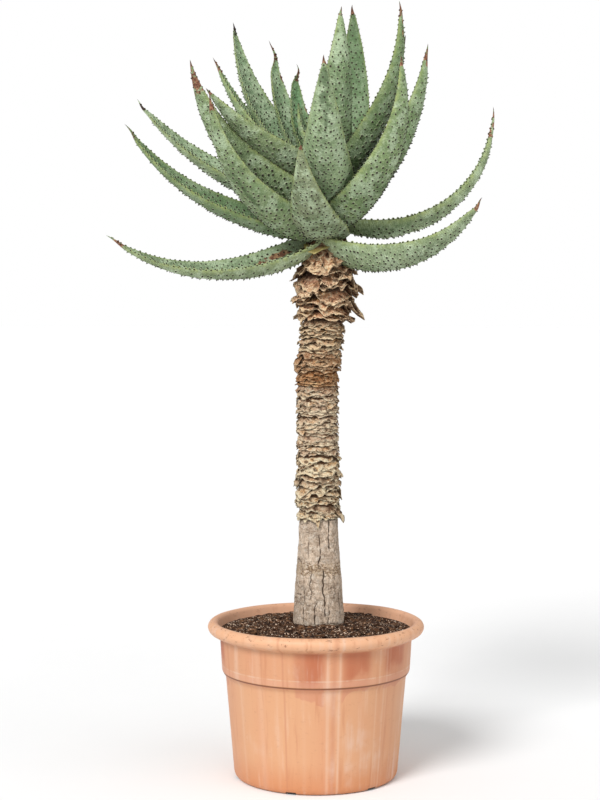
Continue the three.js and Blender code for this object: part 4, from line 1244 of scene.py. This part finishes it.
def lift_notches(turn, radius, height, outer):
    """The heights with the foot lifted in the drain notches, and where it is lifted."""
    away = np.min([np.abs(wrapped(turn - math.radians(middle))) for middle in NOTCH_MIDDLES], 0)
    cut = (away < math.radians(NOTCH_HALF)) & outer & (radius > NOTCH["inner"])
    cut = cut & (height < NOTCH["height"])
    lifted = np.where(radius > NOTCH["wall"], NOTCH["height"], NOTCH["floor"])
    return np.where(cut, lifted, height), cut


def make_pot(settings):
    """The pot: its outline carried round a circle, with fewer points under the soil. The wall
    is slightly uneven, a thin raised line runs round the band, and the foot is lifted in the
    drain notches."""
    outline = rounded_outline(POT_OUTLINE, POT_ROUNDING, POT_STEP)[1:-1]
    number, highest = np.arange(len(outline)), np.argmax(outline[:, 1])
    under_soil = (number > highest) & (outline[:, 1] < SOIL["edge"] - 15)
    outline = outline[~under_soil | (number % 3 == 0)]
    around = pot_directions()
    turn, radius = np.meshgrid(np.radians(around), outline[:, 0])
    height = np.broadcast_to(outline[:, 1:], turn.shape).copy()
    outer = np.broadcast_to((np.arange(len(outline)) < highest)[:, None], turn.shape)
    wall = window(height, *POT_WALL, 6) * outer
    x, y = np.cos(turn) * 1.6, np.sin(turn) * 1.6
    radius = radius + wall * 0.3 * noise(x * 4, y * 4, height / 90, seed=31, layers=2)
    radius = radius + wall * 0.35 * np.exp(-((height - POT_LINE) / 1.3) ** 2)
    height = height + 0.35 * window(height, *POT_LIP, 6) * noise(x * 2, y * 2, seed=32)
    height, cut = lift_notches(turn, radius, height, outer)
    streaks = sum(pale * beside_line(turn, at, wide, 2) for at, wide, pale in POT_STREAKS)
    stains = sum(beside_line(turn, at, wide, 6) for at, wide in POT_STAINS)
    points = directions(turn) * radius[..., None] + np.stack([0 * height, 0 * height, height], -1)
    places = map_grid(np.append(around, 360) / 360 * 9, outline[:, 1] * MAP_UNIT)
    shape = Shape()
    values = {"streak": streaks, "stain": stains, "notch": cut * 1.0, "outside": outer * 1.0}
    rings = shape.grid(points, places, values, wrap=(False, True))
    shape.fan(rings[0], (0, 0, 0), (0, 0), {"outside": 1.0}, flip=True)
    shape.fan(rings[-1], (0, 0, 3), (0, 0), {})
    shape.build("pot_shell", pot_material(settings), "pot_plastic", "pot")


def pot_material(settings):
    """The plastic: its wall and band, what weather and wear left on it, and painted shade under
    the band's lip and in the drain notches.
    """
    material, nodes = new_material("weathered_plastic", 0.35)
    vector = nodes.place()
    height = nodes.height(vector)
    cloud = nodes.noise(vector, 11.0, 4.0, 0.55)
    runs = nodes.noise(nodes.stretch(vector, (1.0, 1.0, 0.05)), 75.0, 4.0, 0.6)
    broad = nodes.noise(nodes.stretch(vector, (1.0, 1.0, 0.12)), 17.0, 3.0, 0.55)
    scuffs = nodes.noise(nodes.stretch(vector, (1.0, 1.0, 1.8)), 120.0, 5.0, 0.7)
    rim = nodes.span(height, *POT_RIM)
    nodes.colour = settings.pot_colour
    nodes.coat(nodes.span(height, *POT_FOOT_COLOUR, 0.9, 0.0), (0.53, 0.21, 0.09))
    nodes.coat(nodes.span(broad, 0.4, 0.7, 0.0, 0.5), (0.58, 0.26, 0.14))
    paint_band(nodes, settings, height, cloud, runs, broad)
    nodes.coat(nodes.times(rim, 0.8), (0.70, 0.39, 0.23))
    paint_weather(nodes, cloud, runs)
    worn = nodes.times(nodes.span(scuffs, 0.58, 0.66), nodes.span(rim, 0.0, 1.0, 0.15, 0.9), 0.85)
    nodes.coat(worn, (0.29, 0.12, 0.06))
    # Painted shadow: a thin dark line under the band's lip, and softer painted shade below it
    under = nodes.belt(height, *POT_BELTS["under"])
    nodes.coat(nodes.times(under, 0.9), (0.09, 0.03, 0.013))
    nodes.coat(nodes.belt(height, *POT_BELTS["shade"], 0.3), (0.4, 0.14, 0.07))
    # Painted shade: near black in the drain notches
    nodes.coat(nodes.value("notch"), (0.014, 0.006, 0.004))
    inner = nodes.span(nodes.value("outside"), 1.0, 0.0, 0.0, 0.35)
    nodes.coat(inner, (0.58, 0.32, 0.22))
    relief = nodes.plus(runs, nodes.times(scuffs, 0.4))
    nodes.surface(nodes.span(cloud, 0.3, 0.7, 0.45, 0.65), relief, 0.25, 0.0008)
    return material


def paint_band(nodes, settings, height, cloud, runs, broad):
    """The band under the rim: stains, a paler strip, a chalky ridge, and seeping below it."""
    names = ("band", "strip", "ridge")
    band, strip, ridge = (nodes.belt(height, *POT_BELTS[name]) for name in names)
    upper = nodes.plus(height, nodes.span(cloud, 0.3, 0.7, -0.022, 0.022))
    stain = nodes.times(nodes.value("stain"), nodes.span(broad, 0.3, 0.6, 0.6, 1.0),
                        nodes.span(upper, *POT_STAIN_RISE, 0.35, 0.95))
    nodes.coat(nodes.times(band, 0.3), (0.52, 0.22, 0.12))
    nodes.coat(nodes.times(band, stain), settings.stain_colour)
    nodes.coat(nodes.times(strip, 0.3), (0.62, 0.33, 0.24))
    chalky = nodes.times(ridge, nodes.span(runs, 0.35, 0.6, 0.1, 0.35))
    nodes.coat(chalky, (0.69, 0.53, 0.42))
    wave = nodes.plus(height, nodes.span(cloud, 0.35, 0.65, -0.014, 0.014))
    begins, full, thins, ends = POT_BELTS["seep"]
    seep = nodes.times(nodes.span(wave, begins, full), nodes.span(height, ends, thins),
                       nodes.span(nodes.value("stain"), 0.2, 0.7), 0.55)
    nodes.coat(seep, (0.5, 0.2, 0.12))


def paint_weather(nodes, cloud, runs):
    """Water runs, pale and dark, the streaks of the table, and chalk."""
    streak = nodes.value("streak")
    nodes.coat(nodes.span(runs, 0.54, 0.70, 0.0, 0.28), (0.67, 0.47, 0.36))
    nodes.coat(nodes.span(runs, 0.44, 0.30, 0.0, 0.4), (0.45, 0.17, 0.08))
    nodes.coat(nodes.span(streak, 0.0, 1.0, 0.0, 0.5), (0.68, 0.49, 0.37))
    nodes.coat(nodes.span(streak, 0.0, -1.0, 0.0, 0.6), (0.45, 0.17, 0.09))
    chalk = nodes.times(nodes.span(cloud, 0.54, 0.68), nodes.span(runs, 0.4, 0.6), 0.35)
    nodes.coat(chalk, (0.65, 0.5, 0.42))


# Stage

def make_floor(settings):
    """A pale floor, a little uneven in its tone."""
    mesh = bpy.data.meshes.new("floor")
    half = settings.floor_size / 2
    signs = [(-1, -1), (1, -1), (1, 1), (-1, 1)]
    corners = [(x * half, y * half, FLOOR_LEVEL) for x, y in signs]
    mesh.from_pydata(corners, [], [(0, 1, 2, 3)])
    material, nodes = new_material("pale_floor", 0.0)
    spread = nodes.noise(nodes.place(), 3.0)
    other = tuple(0.985 * part for part in settings.floor_colour)
    nodes.colour = nodes.mix(nodes.span(spread, 0.2, 0.8), settings.floor_colour, other)
    nodes.surface(1.0)
    mesh.materials.append(material)
    floor = bpy.data.objects.new("floor", mesh)
    bpy.context.scene.collection.objects.link(floor)


def light_room(settings):
    """A pale room, which the camera sees brighter than it shines, and one large soft light
    from the upper left front with a weaker one from the right."""
    scene = bpy.context.scene
    world = bpy.data.worlds.new("room")
    world.use_nodes = True
    room = Nodes(world.node_tree)
    seen = room.add("ShaderNodeLightPath").outputs["Is Camera Ray"]
    more = room.times(seen, settings.wall_light - settings.room_light)
    background = world.node_tree.nodes["Background"].inputs
    background["Color"].default_value = (1, 1, 1, 1)
    room.give(background["Strength"], room.plus(settings.room_light, more))
    scene.world = world
    for name, (up, around, spread), strength in (
            ("key", KEY_LIGHT, settings.key_light), ("fill", FILL_LIGHT, settings.fill_light)):
        light = bpy.data.lights.new(name, "SUN")
        light.energy, light.angle = strength, math.radians(spread)
        lamp = bpy.data.objects.new(name, light)
        lamp.rotation_euler = (math.radians(90 - up), 0, math.radians(around))
        scene.collection.objects.link(lamp)


def place_camera(reach):
    """The camera, where the photograph was taken from. It sees as far as reach, in metres."""
    scene = bpy.context.scene
    camera = bpy.data.cameras.new("camera")
    camera.lens, camera.sensor_width, camera.clip_end = CAMERA["lens"], CAMERA["sensor"], reach
    holder = bpy.data.objects.new("camera", camera)
    holder.location = CAMERA["place"]
    holder.rotation_euler = (math.radians(90 - CAMERA["down"]), 0, 0)
    scene.collection.objects.link(holder)
    scene.camera = holder
    scene.view_settings.view_transform = "Standard"


# Settings

def colour_property(name, description, default):
    """A colour that a user can change."""
    return FloatVectorProperty(name=name, description=description, default=default, size=3,
                               subtype="COLOR", min=0.0, max=1.0)


def length_property(name, description, default):
    """A length that a user can change."""
    return FloatProperty(name=name, description=description, default=default, min=0.0,
                         subtype="DISTANCE", unit="LENGTH")


def light_property(name, description, default):
    """A strength of light that a user can change."""
    return FloatProperty(name=name, description=description, default=default, min=0.0)


class LeafSettings(bpy.types.PropertyGroup):
    """Sizes and colours of the living leaves"""
    upper_colour: colour_property("Upper face", "Colour of the channelled face", (0.225, 0.42, 0.205))
    lower_colour: colour_property("Lower face", "Colour of the rounded back", (0.265, 0.42, 0.155))
    grey_colour: colour_property("Grey leaves", "Colour of the greyest leaves", (0.28, 0.31, 0.18))
    bloom_colour: colour_property("Bloom", "Colour of the pale bloom", (0.51, 0.63, 0.42))
    margin_colour: colour_property("Margins", "Colour along both margins", (0.40, 0.46, 0.15))
    tip_colour: colour_property("Dry tips", "Colour of the dry tips", (0.40, 0.20, 0.11))
    prickle_colour: colour_property("Prickles", "Colour of the prickles", (0.026, 0.022, 0.012))
    prickle_height: length_property("Prickle height", "Height of a full prickle", 0.0031)
    prickle_spacing: length_property("Prickle spacing", "Distance between prickles", 0.0092)


class StemSettings(bpy.types.PropertyGroup):
    """Colour and relief of the bare bark"""
    bark_colour: colour_property("Bark", "Colour of the bare bark", (0.82, 0.65, 0.50))
    crack_depth: length_property("Crack depth", "Depth of the deepest cracks", 0.0019)


class SoilSettings(bpy.types.PropertyGroup):
    """Colours and lumps of the potting mix"""
    soil_colour: colour_property("Mix", "Colour of the potting mix", (0.085, 0.038, 0.018))
    grit_colour: colour_property("Grit", "Colour of the pale grit", (0.66, 0.58, 0.48))
    chip_size: length_property("Chip size", "Length of a large bark chip", 0.0074)
    chips: IntProperty(name="Chips", description="Number of bark chips", default=1700, min=0)


class PotSettings(bpy.types.PropertyGroup):
    """Colours of the pot"""
    pot_colour: colour_property("Pot", "Colour of the pot's wall", (0.60, 0.315, 0.17))
    stain_colour: colour_property("Band", "Colour of the stained band", (0.42, 0.13, 0.06))


class StageSettings(bpy.types.PropertyGroup):
    """Floor and light"""
    floor_colour: colour_property("Floor", "Colour of the floor", (0.88, 0.88, 0.88))
    floor_size: length_property("Floor size", "Length of the floor's sides", 400.0)
    room_light: light_property("Room light", "Brightness of the room's light", 0.55)
    wall_light: light_property("Backdrop", "Brightness of the room behind the plant", 1.0)
    key_light: light_property("Key light", "Strength of the main light", 2.6)
    fill_light: light_property("Fill light", "Strength of the light from the right", 0.7)


class AloeSettings(bpy.types.PropertyGroup):
    """All settings of the plant"""
    leaves: PointerProperty(type=LeafSettings)
    stem: PointerProperty(type=StemSettings)
    soil: PointerProperty(type=SoilSettings)
    pot: PointerProperty(type=PotSettings)
    stage: PointerProperty(type=StageSettings)


# Operators

class ALOE_OT_stage(bpy.types.Operator):
    """Make the floor, the light and the camera"""
    bl_idname = "aloe.stage"
    bl_label = "Stage"

    def execute(self, context):
        settings = context.scene.aloe.stage
        make_floor(settings)
        light_room(settings)
        place_camera(2 * settings.floor_size)
        return {"FINISHED"}


class ALOE_OT_pot(bpy.types.Operator):
    """Make the pot"""
    bl_idname = "aloe.pot"
    bl_label = "Pot"

    def execute(self, context):
        make_pot(context.scene.aloe.pot)
        return {"FINISHED"}


class ALOE_OT_soil(bpy.types.Operator):
    """Make the potting mix with its chips and grit"""
    bl_idname = "aloe.soil"
    bl_label = "Soil"

    def execute(self, context):
        make_soil(context.scene.aloe.soil)
        return {"FINISHED"}


class ALOE_OT_stem(bpy.types.Operator):
    """Make the stem with its bare bark"""
    bl_idname = "aloe.stem"
    bl_label = "Stem"

    def execute(self, context):
        make_stem(context.scene.aloe.stem)
        return {"FINISHED"}


class ALOE_OT_dead_leaf_bases(bpy.types.Operator):
    """Make the sleeves of dead leaf bases"""
    bl_idname = "aloe.dead_leaf_bases"
    bl_label = "Dead leaf bases"

    def execute(self, context):
        for name, sort in BASES.items():
            make_sleeve(name, sort)
        return {"FINISHED"}


class ALOE_OT_leaves(bpy.types.Operator):
    """Make the living leaves with their prickles"""
    bl_idname = "aloe.leaves"
    bl_label = "Leaves"

    def execute(self, context):
        settings = context.scene.aloe.leaves
        material, form = leaf_material(settings), prickle_form()
        for name in LEAVES:
            make_leaf(name, settings, material, form)
        return {"FINISHED"}


class ALOE_PT_panel(bpy.types.Panel):
    """Settings and pieces of the plant"""
    bl_idname = "ALOE_PT_panel"
    bl_label = "Potted mountain aloe"
    bl_space_type = "VIEW_3D"
    bl_region_type = "UI"
    bl_category = "Aloe"

    def draw(self, context):
        for part, operators in PARTS.items():
            settings = getattr(context.scene.aloe, part)
            box = self.layout.box()
            for label in settings.__annotations__:
                box.prop(settings, label)
            for operator in operators:
                box.operator(operator)


PARTS = {
    "stage": ["aloe.stage"], "pot": ["aloe.pot"], "soil": ["aloe.soil"],
    "stem": ["aloe.stem", "aloe.dead_leaf_bases"], "leaves": ["aloe.leaves"],
}
CLASSES = [
    LeafSettings, StemSettings, SoilSettings, PotSettings, StageSettings, AloeSettings,
    ALOE_OT_stage, ALOE_OT_pot, ALOE_OT_soil, ALOE_OT_stem, ALOE_OT_dead_leaf_bases,
    ALOE_OT_leaves, ALOE_PT_panel,
]


def register():
    for item in CLASSES:
        bpy.utils.register_class(item)
    bpy.types.Scene.aloe = PointerProperty(type=AloeSettings)


def unregister():
    del bpy.types.Scene.aloe
    for item in reversed(CLASSES):
        bpy.utils.unregister_class(item)


def main():
    """Makes every piece."""
    register()
    for make in (bpy.ops.aloe.stage, bpy.ops.aloe.pot, bpy.ops.aloe.soil, bpy.ops.aloe.stem,
                 bpy.ops.aloe.dead_leaf_bases, bpy.ops.aloe.leaves):
        make()


if __name__ == "__main__":
    main()
